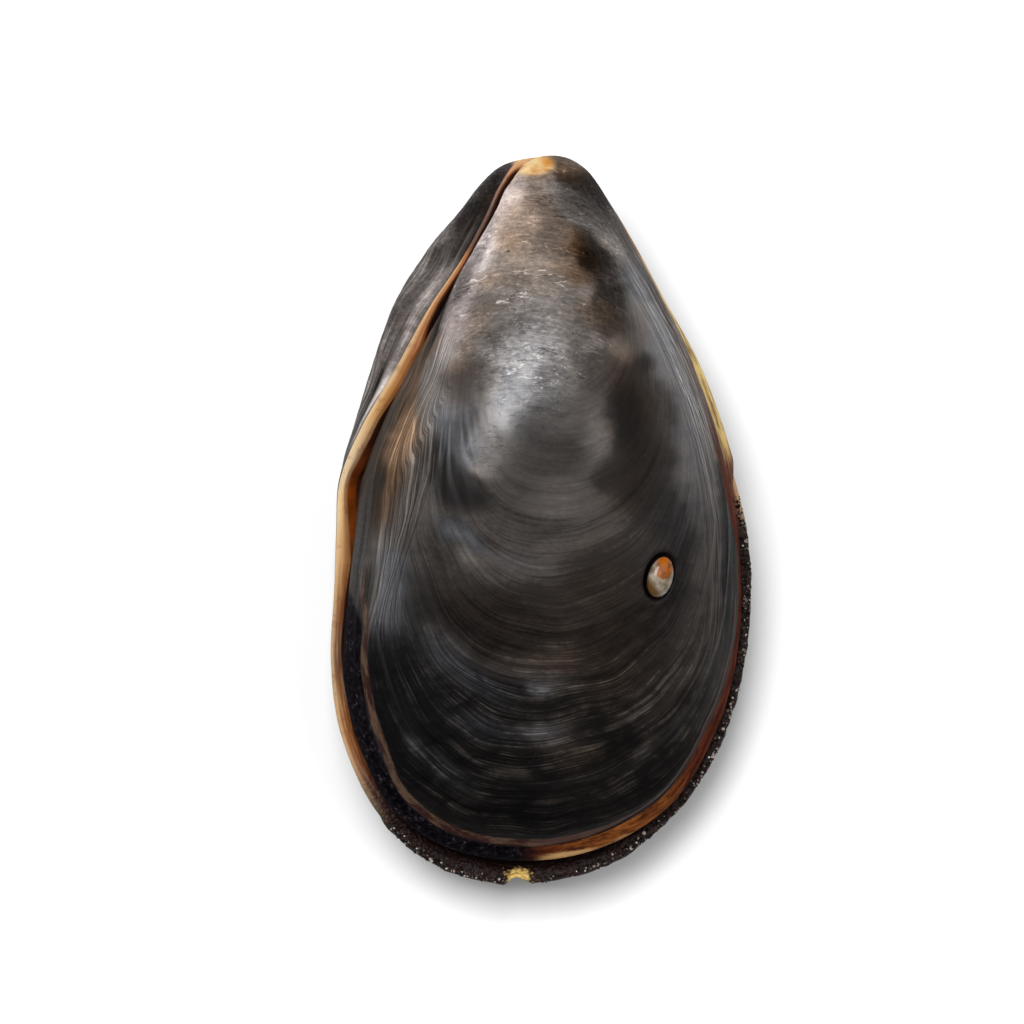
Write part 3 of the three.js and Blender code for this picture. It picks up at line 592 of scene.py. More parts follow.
# Of the cool strokes, the first greys the painted highlight on the crown, and those on the two flanks tint
# their painted sheen bluish
COOL = (
    (-1.8, 14.8, 4, 4.4, 0, 0.6), (-9.8, 19, 1, 3.2, -25, 0.55), (-7.6, 24.6, 1, 3.2, -25, 0.55),
    (-11.2, 13.2, 0.9, 2.4, -10, 0.6), (-9.8, 11, 1.6, 2.2, 10, 0.8), (-8.9, 7.6, 1.6, 1.8, 10, 0.8),
    (-8.2, -1.8, 2.2, 0.8, -34, 1), (-10.2, -13.3, 2.2, 1.4, -42, 0.9), (-7.4, -16.2, 3.2, 0.8, -34, 0.9),
    (0, -17, 2, 0.7, 0, 0.8), (-5.9, -21.5, 2.4, 0.8, -22, 0.8), (0.2, -21.8, 2, 0.9, 0, 0.6),
    (-9.7, -26, 2.2, 0.8, -36, 0.9), (-16, -9, 2.4, 4, 6, 0.9), (14.4, 11, 1.4, 8, 14, 0.6),
    (14, 0, 2, 8, 0, 0.6), (4.3, 31.8, 0.9, 3.2, 48, 0.8), (7.4, 28.2, 1.1, 2.6, 30, 0.9),
    (11, 20.5, 1.2, 5, 20, 0.8), (-1.4, -5, 2.6, 1.2, 0, 0.5), (-14, -20, 4, 5, 20, 0.6),
    (6.4, 8, 1.6, 3, 0, 0.4))
SHEEN = (
    (-2.8, 12.8, 3.8, 3.8, -10, 0.5), (-4.4, 8.6, 1.8, 3.6, 5, 0.9), (-8.4, 24, 1.4, 8, -24, 0.3),
    (12.4, 18, 2, 8, 16, 0.6), (16, 2, 1.6, 8, 6, 0.5), (17.4, -4, 1.4, 9, 0, 0.5),
    (-16, -5, 2.6, 5, 0, 0.6), (-9.6, 10, 2, 3.4, 8, 0.4), (-9, -13.6, 3.4, 1.6, -40, 0.4))
# Paths of the faint ridge down the ventral side and of a pale crest on the crown
RIDGE = ((-4.5, 34.0), (-8.8, 23.7), (-10.0, 20.1), (-11.3, 16.1), (-12.1, 12.8), (-13.1, 9.7),
         (-13.6, 6.6), (-14.4, 2.9), (-15.0, -2.0))
CREST = ((-7.4, 8.0), (-7.7, 6.4), (-7.1, 5.0), (-6.1, 4.2), (-4.4, 4.3))


def upper_masks(x, y, gone, deep):
    """Relief and masks of the upper valve: a faint ridge with a groove outside it down the
    ventral side, lightness and hue by strokes, with a painted highlight on the crown, painted
    sheen on the flanks and painted shade in the groove, where the skin is worn, polished or
    stranded, and the last band with its ridge line, at depths from the margin that change round
    the valve."""
    turn = from_bottom(x, y)
    fading = smooth(y, -1, 8)
    ridge = along_path(x, y, RIDGE, 0.9) * fading
    groove = along_path(x, y, [(a - 0.8, b - 0.3) for a, b in RIDGE], 0.3) * smooth(y, 14, 20)
    base = 0.09 + 0.14 * smooth(y, -26, -12) + 0.12 * smooth(y, -10, 4)
    base = base + 0.34 * smooth(-np.hypot((x + 1.0) / 9.4, (y - 26.0) / 11.5), -1.12, -0.86)
    tone = paint(x, y, base, TONE)
    oval = np.hypot((x + 1.0) / 9.6, (y - 26.5) / 14.5)
    high_left, high_right = smooth(-turn, 84, 100), smooth(turn, 55, 92)
    strip_depth = 1.95 - 1.2 * high_left - 0.8 * high_right + 0.1 * smooth(turn, -20, 10)
    strip_depth = strip_depth + 0.9 * smooth(turn, 104, 122)
    strip_half = 0.44 - 0.28 * high_left - 0.32 * smooth(turn, 0, 30)
    band_depth = strip_depth - 0.45 * smooth(-turn, 78, 104)
    own = {
        # The groove's darker tone is painted shade in its crease.
        "tone": tone - 0.36 * groove + 0.12 * along_path(x, y, CREST, 0.35)
        + 0.16 * along_path(x, y, ((-13.0, 10.0), (-13.0, 5.6)), 0.14),
        "hue": 0.05 + paint(x, y, 0.1, WARM) - paint(x, y, 0.0, COOL)
        - 0.14 * smooth(-x, -5, 5) * smooth(y, 12, 4) + 0.16 * smooth(x, 0, 8) * smooth(y, 0, -8),
        "blush": along_path(x, y, ((-3.2, 34.0), (-5.6, 29.4), (-7.8, 24.4), (-9.6, 19.0)), 1.7),
        "worn": smooth(oval, 1.16, 0.84),
        "lined": 0.28 + 0.72 * smooth(y, -9, -19),
        "grown": 0.35 + 0.65 * smooth(y, 8, -8),
        # polish: the smooth, crackled crown under the painted highlight
        "polish": spots(x, y, (-1.6, 15.6, 3.4, 3.6, -10), (-4.4, 10.0, 2.2, 3.4, 10, 0.9),
                        (-5.6, 6.4, 2.2, 2.4, 0, 0.9), (0.6, 10.6, 3.2, 2.6, 30, 0.7)),
        "fibre": smooth(deep, 8.5, 4.0) * smooth(np.abs(turn), 58, 92) * smooth(gone, 5, 14)
        * np.where(x < 0, 0.9, 1.0) * (1 - 0.8 * smooth(oval, 1.16, 0.84)),
        "sheen": paint(x, y, 0.1, SHEEN),
        "line": hump(deep, strip_depth, strip_half) * smooth(turn, -114, -98)
        * (1 - smooth(turn, 84, 112)),
        "band": smooth(deep, band_depth - 0.3, band_depth - 0.6) * smooth(turn, -108, -92)
        * (1 - 0.55 * smooth(turn, 102, 150)),
        "glow": hump(turn, 22, 20),
        "warm": smooth(turn, -6, 4) * (1 - smooth(turn, 150, 165)),
        "cream": spots(x, y, (2.6, -35.3, 4.0, 0.8, 8, 1.1), (8.4, -33.3, 2.6, 0.4, 28, 0.6)),
        "tip": spots(x, y, (-0.9, 36.6, 2.4, 1.35, 0, 1.0), (-3.5, 34.9, 0.5, 1.2, -28, 0.8)),
        "knob": spots(x, y, (0.6, 36.8, 0.8, 0.7, 0, 1.0)),
    }
    return 0.14 * ridge - 0.24 * groove, own


# Strokes of lightness on the lower valve: pale where it rests and along the ventral wall, black
# by its lip near the beak
LOWER_TONE = (
    (-5, 4, 7, 11, 0, 0.62), (-5.2, 33.2, 0.6, 1.6, -36, 0.05), (-7.2, 30.2, 0.6, 1.8, -28, 0.06),
    (-8.6, 27.8, 0.6, 1.4, -28, 0.14), (-5.4, 34.6, 0.6, 1.6, -42, 0.04), (-7.8, 31.2, 0.6, 2.2, -36, 0.05),
    (-10.4, 27.4, 0.6, 2, -30, 0.16), (-11.4, 25.8, 1.2, 4, -32, 0.68), (-14.6, 20.4, 1, 4, -30, 0.64),
    (-17.6, 14.6, 1, 4, -26, 0.58), (0, -34, 14, 3, 0, 0.16))


def lower_masks(x, y, gone, deep):
    """Masks of the lower valve: lightness by strokes, strands along both flanks, and a band below
    the rim that dies out ahead of the back end on the ventral side."""
    turn = from_bottom(x, y)
    tone = paint(x, y, 0.30, LOWER_TONE)
    ahead = smooth(y, -16, 8) * (x < 0)
    own = {
        "tone": tone + 0.12 * smooth(gone, 14, 4),
        "hue": 0.9 * along_path(x, y, ((-4.6, 34.0), (-7.2, 30.2), (-8.4, 27.6)), 0.9),
        "blush": 0.6 * (x < 0),
        "worn": 0.8 * smooth(gone, 14, 4),
        "lined": 0.8,
        "grown": 1.0,
        "sheen": 0.3,
        "fibre": np.clip(smooth(deep, 6.5, 3.4) * smooth(np.abs(turn), 50, 90), 0, 1)
        * (1.8 - 1.4 * (x < 0) * smooth(deep, 3.4, 2.0) * smooth(y, 13, 17)),
        "band": smooth(deep, 0.6 * (1 - ahead) + 0.05, 0.3 * (1 - ahead)) * (1 - ahead),
        "warm": 0.7 * (1 - smooth(turn, -80, -20)),
        "tip": spots(x, y, (-1.0, 37.2, 2.2, 1.2, 0, 1.0)),
    }
    return 0.0, dict(own, **dict.fromkeys(("polish", "line", "glow", "cream", "knob"), 0.0))


def colour(r, g, b):
    """Linear colour from the eight-bit values of a swatch."""
    def part(v):
        """Its inverse display curve: a straight foot, then a power of 2.4."""
        v = v / 255
        return v / 12.92 if v <= 0.04045 else ((v + 0.055) / 1.055) ** 2.4
    return (part(r), part(g), part(b), 1.0)


class Graph:
    """Short ways of adding nodes to one node tree. A colour is given as its eight-bit swatch."""

    def __init__(self, tree):
        self.tree = tree

    def node(self, kind, inputs=(), **settings):
        """New node with its inputs fed and its settings set."""
        made = self.tree.nodes.new(kind)
        for key, value in settings.items():
            setattr(made, key, value)
        for key, value in dict(inputs).items():
            self.feed(made.inputs[key], value)
        return made

    def feed(self, socket, value):
        """Link a socket, or set its value."""
        if isinstance(value, bpy.types.NodeSocket):
            self.tree.links.new(value, socket)
        elif socket.type == "RGBA":
            socket.default_value = colour(*value)
        else:
            socket.default_value = value

    def math(self, operation, a, b=0.5, clamp=False):
        """Number from one or two others by an operation."""
        return self.node("ShaderNodeMath", {0: a, 1: b}, operation=operation,
                         use_clamp=clamp).outputs[0]

    def times(self, a, b):
        """a * b."""
        return self.math("MULTIPLY", a, b)

    def total(self, first, *others):
        """Sum of all."""
        for other in others:
            first = self.math("ADD", first, other)
        return first

    def rest(self, value):
        """1 - value."""
        return self.math("SUBTRACT", 1.0, value)

    def about(self, value, spread):
        """(value - 0.5) * spread."""
        return self.times(self.math("SUBTRACT", value, 0.5), spread)

    def mix(self, factor, a, b, mode="MIX"):
        """a + factor * (b - a), or the same share of another way of mixing."""
        return self.node("ShaderNodeMix", {0: factor, 6: a, 7: b}, data_type="RGBA",
                         blend_type=mode).outputs[2]

    def step(self, value, low, high, to_low=0.0, to_high=1.0):
        """Smooth step from one value at low to another at high."""
        return self.node("ShaderNodeMapRange", {"Value": value, "From Min": low, "From Max": high,
                                                "To Min": to_low, "To Max": to_high},
                         interpolation_type="SMOOTHSTEP").outputs[0]

    def blend(self, value, low, high, a, b):
        """Colour a where the value is below low, b above high."""
        return self.mix(self.step(value, low, high), a, b)

    def stretched(self, vector, x, y, z=1.0, place=(0, 0, 0)):
        """Vector times (x, y, z) plus a place."""
        return self.node("ShaderNodeMapping", {"Vector": vector, "Scale": (x, y, z),
                                               "Location": place}).outputs[0]

    def noise(self, vector, scale, detail=2.0, rough=0.5, bend=0.0):
        """Noise from 0 to 1 at a vector."""
        return self.node("ShaderNodeTexNoise", {"Vector": vector, "Scale": scale, "Detail": detail,
                                                "Roughness": rough, "Distortion": bend}).outputs[0]

    def vector(self, operation, a, b):
        """Vector from two others by an operation."""
        return self.node("ShaderNodeVectorMath", {0: a, 1: b}, operation=operation).outputs[0]

    def joined(self, x=0.0, y=0.0, z=0.0):
        """Vector of three numbers."""
        return self.node("ShaderNodeCombineXYZ", {"X": x, "Y": y, "Z": z}).outputs[0]

    def parts(self, vector):
        """The three numbers of a vector."""
        return self.node("ShaderNodeSeparateXYZ", {0: vector}).outputs

    def growth(self):
        """Growth map: share of the margin, growth stage."""
        return self.node("ShaderNodeUVMap", uv_map="growth").outputs[0]

    def object_place(self):
        """Place on the piece, in metres."""
        return self.node("ShaderNodeTexCoord").outputs["Object"]

    def mask(self, name):
        """Number written to the mesh under a name."""
        return self.node("ShaderNodeAttribute", attribute_name=name).outputs["Fac"]

    def ramp(self, factor, stops):
        """Colour ramp: its first two stops are its ends."""
        made = self.node("ShaderNodeValToRGB", {"Fac": factor})
        elements = made.color_ramp.elements
        for place, shade in stops[2:]:
            elements.new(place).color = colour(*shade)
        for element, (place, shade) in zip((elements[0], elements[-1]), stops[:2]):
            element.position, element.color = place, colour(*shade)
        return made.outputs[0]

    def look(self, **inputs):
        """Link or set inputs of the material's shader, named with underscores for spaces."""
        for key, value in inputs.items():
            self.feed(self.tree.nodes["Principled BSDF"].inputs[key.replace("_", " ")], value)

    def bump(self, height, strength, distance):
        """Bump from a height, over the material's whole surface."""
        self.look(Normal=self.node("ShaderNodeBump", {
            "Strength": strength, "Distance": distance, "Height": height}).outputs[0])

    def use(self, tree, **inputs):
        """Outputs of a node group."""
        names = {key.capitalize(): value for key, value in inputs.items()}
        return self.node("ShaderNodeGroup", names, node_tree=tree).outputs


def group(name, place, numbers, outputs):
    """Empty node group with a vector input, number inputs and number outputs."""
    tree = bpy.data.node_groups.new(name, "ShaderNodeTree")
    tree.interface.new_socket(place, in_out="INPUT", socket_type="NodeSocketVector")
    for key in numbers:
        tree.interface.new_socket(key, in_out="INPUT", socket_type="NodeSocketFloat")
    for key in outputs:
        tree.interface.new_socket(key, in_out="OUTPUT", socket_type="NodeSocketFloat")
    g = Graph(tree)
    return g, g.node("NodeGroupInput").outputs, g.node("NodeGroupOutput").inputs


def streak_group():
    """Growth streaks: noise on the growth map, long round the valve and thin along it, and thin
    lines where that noise crosses its middle value."""
    g, given, out = group("growth streaks", "Map", ("Around", "Along", "Seed"), ("Plain", "Lines"))
    size = g.joined(given["Around"], given["Along"], 1.0)
    spread = g.vector("MULTIPLY", given["Map"], size)
    plain = g.noise(g.vector("ADD", spread, g.joined(z=given["Seed"])), 1.0, 2.0, 0.5, 0.1)
    g.feed(out["Plain"], plain)
    g.feed(out["Lines"], g.step(g.math("ABSOLUTE", g.math("SUBTRACT", plain, 0.5)), 0.045, 0.0))
    return g.tree


def grit_group():
    """Grit: specks where a fine noise is above a limit, and lumps of soft round cells."""
    g, given, out = group("grit", "Place", ("Size", "Amount", "Seed"), ("Specks", "Lumps"))
    scale = g.math("DIVIDE", 1.0, given["Size"])
    moved = g.vector("ADD", given["Place"], given["Seed"])
    fine = g.noise(moved, scale, 2.0, 0.65, 0.4)
    limit = g.math("SUBTRACT", 0.78, g.times(given["Amount"], 0.3))
    g.feed(out["Specks"], g.step(fine, limit, g.total(limit, 0.06)))
    cells = g.node("ShaderNodeTexVoronoi", {"Vector": moved, "Scale": scale},
                   feature="SMOOTH_F1").outputs["Distance"]
    g.feed(out["Lumps"], g.math("SUBTRACT", 1.0, cells, clamp=True))
    return g.tree


def wisp_group():
    """Wisps: thin lines where a bent noise crosses its middle value, broken up by a second
    noise. Cracks: the same lines of another noise."""
    g, given, out = group("wisps", "Place", ("Width", "Share"), ("Wisps", "Cracks"))
    for key, offset in (("Wisps", 0.0), ("Cracks", 17.0)):
        moved = g.vector("ADD", given["Place"], (offset, offset, offset))
        bent = g.noise(moved, 1.0, 2.0, 0.55, 0.3)
        line = g.step(g.math("ABSOLUTE", g.math("SUBTRACT", bent, 0.5)), given["Width"], 0.0)
        here = g.noise(moved, 0.9, 2.0, 0.5, 0.3)
        limit = g.math("SUBTRACT", 0.72, g.times(given["Share"], 0.4))
        g.feed(out[key], g.times(line, g.step(here, limit, g.total(limit, 0.1))))
    return g.tree


STREAKS, GRIT, WISPS = streak_group(), grit_group(), wisp_group()


def new_material(name):
    """Material with a single Principled BSDF, and the graph to fill it."""
    made = bpy.data.materials.new(name)
    made.use_nodes = True
    return made, Graph(made.node_tree)


SKIN_TONES = ((0.0, (7, 6, 7)), (1.0, (230, 223, 216)), (0.15, (20, 18, 17)), (0.30, (43, 39, 37)),
              (0.45, (73, 68, 65)), (0.60, (108, 102, 98)), (0.75, (152, 145, 140)),
              (0.90, (198, 190, 184)))


def skin(name, seed, strand):
    """Weathered outer skin: lightness and hue by the valve's own strokes, among them a painted
    highlight, painted sheen and painted shade, broken up by growth lines on the dome, by
    blotches, hairs and cracks where it is worn or polished, by strands on the flanks, with a
    coloured last band and painted shade in the bead's pit. The strand number makes strands
    longer and stronger."""
    made, g = new_material(name)
    grow, obj = g.growth(), g.object_place()
    mm = g.stretched(obj, 1000, 1000, 1000)

    # Slow waver of the growth map, so that bands aren't drawn with compasses
    waver = g.noise(g.stretched(mm, 0.10, 0.10, 0.10), 1.0, 1.0)
    grow = g.vector("ADD", grow, g.joined(y=g.about(waver, 0.04)))

    # Places bowed across the beak, for the wear that runs over it
    across, along, up = g.parts(mm)
    sideways = g.total(across, 2.0)
    bow = g.times(g.times(sideways, sideways), 0.027)
    bowed = g.joined(across, g.total(along, bow), up)

    def streaks(place, around, along, number):
        """The streak group with this valve's own seed."""
        return g.use(STREAKS, map=place, around=around, along=along, seed=seed + number)

    bands = streaks(grow, 3.0, 13.0, 1.3)["Plain"]
    wide = streaks(grow, 7.0, 36.0, 2.1)["Plain"]
    fine, fine_lines = streaks(grow, 4.0, 80.0, 3.7)
    thin, thin_lines = streaks(grow, 9.0, 210.0, 4.9)
    fray = g.about(g.noise(mm, 0.15, 1.0), 0.4 / strand ** 3)
    flank = g.joined(g.parts(grow)[0], g.total(g.mask("deep"), fray))
    broad = streaks(flank, 15.0 / strand ** 2, 4.0, 5.5)["Plain"]
    narrow = streaks(flank, 34.0 / strand ** 2, 11.0, 6.1)["Plain"]
    fibres = g.total(g.times(broad, 0.55), g.times(narrow, 0.45))
    blotch = g.noise(g.stretched(mm, 0.42, 0.62, 0.5, (seed, 7, 0)), 1.0, 5.0, 0.60, 0.5)
    grain = g.noise(g.stretched(mm, 1.9, 2.6, 2.2), 1.0, 4.0, 0.68)
    frizz = g.noise(g.stretched(bowed, 2.0, 8.0, 3.0), 1.0, 3.0, 0.7, 0.4)
    brushed = g.noise(g.stretched(bowed, 0.7, 3.4, 1.2), 1.0, 4.0, 0.62, 0.2)
    hairs, cracks = g.use(WISPS, place=g.stretched(bowed, 0.22, 0.95, 0.4), width=0.022,
                          share=0.45)
    short_hairs, short_cracks = g.use(WISPS, place=g.stretched(mm, 1.0, 2.1, 1.4), width=0.035,
                                      share=0.5)

    def weighed(*pairs):
        """Sum of values times their weights."""
        return g.total(*(g.times(value, weight) for value, weight in pairs))

    worn, polish, fibrous, tone = (g.mask(key) for key in ("worn", "polish", "fibre", "tone"))
    grown = g.rest(g.math("MAXIMUM", worn, polish))
    lined = g.times(g.step(blotch, 0.34, 0.62, 0.25, 1.0), g.mask("lined"))
    keen = g.total(g.times(tone, 0.7), 0.16)
    growth = g.total(g.about(bands, 0.20), g.times(g.mask("lined"), g.about(wide, 0.14)),
                     g.times(keen, g.about(fine, 0.30)), g.times(keen, g.about(thin, 0.60)),
                     weighed((g.times(lined, fine_lines), 0.15), (g.times(lined, thin_lines), 0.17)),
                     g.about(blotch, 0.14), -0.04)
    growth = g.times(growth, g.mask("grown"))
    contrast = g.times(g.total(g.times(tone, 0.45), 0.13), strand)
    strands = g.times(contrast, g.step(fibres, 0.34, 0.66, -0.5, 0.5))
    growth = g.total(g.times(growth, g.rest(g.times(fibrous, 0.55))), g.times(strands, fibrous))
    bitten = g.total(g.about(blotch, 0.24), g.about(brushed, 0.30), g.about(grain, 0.12),
                     weighed((hairs, 0.24), (short_hairs, 0.14), (cracks, -0.16)))
    glossy = g.total(g.about(blotch, 0.16), g.about(brushed, 0.12), g.about(grain, 0.12),
                     weighed((hairs, 0.06), (short_hairs, 0.10), (cracks, -0.08),
                             (short_cracks, -0.16)))
    tone = g.total(tone, g.times(growth, g.math("MAXIMUM", grown, 0.18)), g.times(bitten, worn),
                   g.times(glossy, polish), g.about(grain, 0.14 * strand ** 2),
                   g.times(worn, g.about(frizz, 0.26)))
    base = g.ramp(tone, SKIN_TONES)
    hue = g.total(g.mask("hue"), g.about(blotch, 0.4))
    for factor, shade in ((g.step(hue, 0.1, 1.5), (242, 194, 140)),
                          (g.step(hue, 0.0, -0.7), (222, 236, 255)),
                          (g.times(g.mask("blush"), 0.5), (255, 243, 250))):
        base = g.mix(factor, base, shade, "MULTIPLY")

    # Pale specks, the last growth band and its ridge line, the nub of the beak, and painted shade in the
    # bead's pit
    specks = g.use(GRIT, place=obj, size=0.00022, amount=0.10, seed=seed)["Specks"]
    base = g.mix(g.times(specks, 0.22 * strand ** 1.6), base, (190, 184, 178))
    band_noise = g.noise(g.stretched(grow, 60, 90, 1), 1.0, 4.0, 0.7)
    rust = g.blend(band_noise, 0.35, 0.65, (48, 17, 9), (92, 42, 22))
    ochre = g.blend(band_noise, 0.35, 0.65, (66, 30, 13), (134, 78, 36))
    rust = g.blend(g.total(g.mask("glow"), g.about(band_noise, 0.5)), 0.25, 0.8, rust, ochre)
    cream_edge = g.total(g.mask("cream"), g.about(band_noise, 1.0))
    rust = g.blend(cream_edge, 0.35, 0.8, rust, (186, 146, 98))
    gritty = g.noise(g.stretched(mm, 1.7, 1.7, 1.7), 1.0, 4.0, 0.75)
    dusk = g.blend(gritty, 0.42, 0.60, (4, 3, 5), (22, 18, 22))
    dusk = g.blend(gritty, 0.60, 0.72, dusk, (84, 74, 84))
    last = g.mix(g.mask("warm"), dusk, rust)
    base = g.blend(g.total(g.mask("band"), g.about(gritty, 0.3)), 0.3, 0.7, base, last)
    seam = g.blend(band_noise, 0.4, 0.6, (46, 25, 24), (84, 66, 52))
    seam = g.mix(g.times(g.mask("warm"), 0.8), seam, (76, 56, 50))
    seam_edge = g.total(g.mask("line"), g.about(band_noise, 0.5))
    base = g.mix(g.times(g.step(seam_edge, 0.3, 0.7), 0.9), base, seam)
    tip = g.blend(blotch, 0.35, 0.62, (194, 144, 86), (222, 194, 144))
    tip = g.mix(g.mask("knob"), tip, (190, 126, 46))
    base = g.blend(g.total(g.mask("tip"), g.about(blotch, 0.3)), 0.28, 0.66, base, tip)
    # Painted shade: inside the bead's pit the skin is darkened to near black
    base = g.blend(g.mask("oval"), 1.13, 0.98, base, (16, 9, 11))

    rough = g.total(g.step(grain, 0.3, 0.7, 0.38, 0.52),
                    weighed((worn, 0.14), (polish, -0.06), (cracks, 0.08)))
    sheen = g.total(g.times(g.mask("sheen"), g.step(grain, 0.3, 0.7, 0.7, 0.3)), 0.14)
    sheen = g.times(sheen, g.rest(g.times(g.mask("band"), 0.8)))
    g.look(Base_Color=base, Roughness=rough, Coat_Weight=sheen, Coat_Roughness=0.34, Coat_IOR=1.45,
           Specular_IOR_Level=0.0)
    growth_height = weighed((fine, 0.9), (thin, 0.5), (g.times(fibres, fibrous), 1.3))
    worn_height = weighed((short_hairs, 0.35), (hairs, 0.4), (short_cracks, -0.5), (cracks, -0.4),
                          (blotch, 0.5), (brushed, 0.7))
    height = weighed((growth_height, g.math("MAXIMUM", grown, 0.25)),
                     (worn_height, g.math("MAXIMUM", worn, polish)), (grain, 0.5))
    g.bump(height, 0.9, 0.0001)
    return made


# Heights, in metres along Y, between which the rim's outer edge turns pale
RIM_PALE_BELOW = (0.0285, 0.0262)


def rim_material(name, stops, inner_stops, seed):
    """Rim of a valve: its colour, and that of the slope inside it, change along the margin, waxy
    and smooth on the ventral side with a paler outer edge away from the beak, crumbly and dark
    where the crust is, with a pale chip."""
    made, g = new_material(name)
    grow, obj = g.growth(), g.object_place()
    along, stage = g.parts(grow)[:2]
    along = g.total(along, g.about(g.noise(obj, 400, 2.0), 0.02))
    across = g.step(stage, 1.0, 1.1)
    wax = g.ramp(along, stops)
    streak = g.use(STREAKS, map=grow, around=40.0, along=60.0, seed=seed)["Plain"]
    below = g.step(g.parts(obj)[1], *RIM_PALE_BELOW)
    pale_edge = g.times(below, g.step(across, 0.5, 0.15, 0.0, 0.45))
    pale = g.mix(pale_edge, wax, (224, 194, 148))
    wax = g.mix(g.step(across, 0.55, 0.92, 0.0, 0.75), pale,
                g.mix(0.7, wax, (168, 104, 58), "MULTIPLY"))
    wax = g.mix(g.times(g.step(streak, 0.45, 0.7), 0.35), wax, g.mix(0.5, wax, (232, 206, 168)))
    mottle = g.noise(obj, 900, 3.0, 0.7)
    wax = g.mix(g.step(mottle, 0.54, 0.68, 0.0, 0.45), wax, g.mix(0.7, wax, (92, 46, 26)))
    specks, lumps = g.use(GRIT, place=obj, size=0.00035, amount=0.35, seed=seed)
    flock = g.step(g.noise(g.stretched(obj, 260, 260, 260, (3, 5, 1)), 1.0, 2.0), 0.48, 0.60)
    crumb = g.blend(lumps, 0.35, 0.75, (7, 3, 2), (36, 14, 9))
    crumb = g.mix(g.times(g.times(specks, flock), 0.8), crumb, (176, 160, 152))
    crumb = g.blend(across, 0.55, 0.8, crumb, (26, 9, 8))
    # The slope inside the rim; its burnt orange in the ventral gap is partly painted light
    ember = g.ramp(along, inner_stops)
    ember = g.mix(g.step(g.noise(obj, 500, 3.0), 0.35, 0.65, 0.0, 0.5), ember, (20, 9, 4))
    wax = g.blend(stage, 1.098, 1.112, wax, ember)
    chip = g.total(g.mask("chip"), g.about(lumps, 0.8))
    crumb = g.blend(chip, 0.25, 0.75, crumb, (226, 190, 110))
    crust = g.mask("crust")
    g.look(Base_Color=g.mix(crust, wax, crumb), Roughness=g.step(crust, 0, 1, 0.42, 0.55),
           Specular_IOR_Level=0.2)
    height = g.total(g.times(g.times(lumps, crust), 2.4), g.times(streak, 0.25))
    g.bump(height, 0.8, 0.00012)
    return made


def nacre_material():
    """Inside of the valves: bluish white deep in the hollow; towards the rim burnt orange,
    brightened as painted light of the glow through the thin shell, and dark brown further back."""
    made, g = new_material("inside of the valves")
    obj = g.object_place()
    cloud = g.noise(obj, 160, 3.0)
    depth = g.total(g.parts(g.growth())[1], g.about(cloud, 0.12))
    pearl = g.blend(cloud, 0.3, 0.7, (150, 152, 164), (206, 208, 214))
    # Painted light: the burnt orange near the rim is brightened to stand for light glowing through the thin
    # shell
    rust = g.blend(cloud, 0.35, 0.65, (120, 56, 22), (190, 100, 44))
    rust = g.blend(g.parts(obj)[1], -0.006, -0.001, (22, 9, 7), rust)
    g.look(Base_Color=g.blend(depth, 1.22, 1.5, rust, pearl),
           Roughness=g.step(cloud, 0.3, 0.7, 0.22, 0.34), Coat_Weight=0.2)
    return made


def ligament_material():
    """Horny hinge strip: golden tan fibres running lengthwise, red-brown at its back end."""
    made, g = new_material("horny hinge strip")
    grow = g.growth()
    fibre = g.noise(g.stretched(grow, 7, 26, 1), 1.0, 4.0, 0.7, 0.3)
    gold = g.blend(fibre, 0.35, 0.62, (122, 90, 44), (224, 194, 122))
    back = g.blend(fibre, 0.35, 0.62, (46, 19, 12), (132, 76, 42))
    g.look(Base_Color=g.blend(g.parts(grow)[0], 0.26, 0.1, gold, back),
           Roughness=g.step(fibre, 0.3, 0.7, 0.6, 0.4))
    g.bump(fibre, 0.9, 0.0001)
    return made


def pearl_material():
    """Glossy bead: milky white with an amber cap, and olive brown painted shade on its lower side."""
    made, g = new_material("pearly bead")
    cap, foot = g.mask("cap"), g.mask("foot")
    cloud = g.noise(g.object_place(), 900, 3.0)
    milk = g.blend(cloud, 0.3, 0.7, (96, 82, 60), (158, 148, 136))
    amber = g.blend(cloud, 0.35, 0.65, (72, 42, 2), (150, 78, 0))
    wave = g.about(cloud, 0.3)
    shade = g.blend(g.total(cap, wave), 0.42, 0.62, milk, amber)
    # Painted shade: the foot mask darkens the bead's lower side to olive brown
    shade = g.blend(g.total(foot, wave), 0.2, 0.9, shade, (84, 60, 28))
    g.look(Base_Color=shade, Roughness=0.3, Specular_IOR_Level=0.3,
           Coat_Weight=g.step(cap, 0.3, 0.7, 0.25, 0.08), Coat_Roughness=0.1)
    return made


def grain_material():
    """Crumbs of the rim crust: mostly dark, some whitish, by the crumb's own tone."""
    made, g = new_material("crumbs of the crust")
    shade = g.ramp(g.mask("tone"), ((0.0, (8, 4, 4)), (1.0, (232, 224, 214)), (0.55, (14, 7, 6)),
                                    (0.72, (42, 20, 15)), (0.81, (150, 136, 128))))
    g.look(Base_Color=shade, Roughness=0.4, Specular_IOR_Level=0.25)
    return made


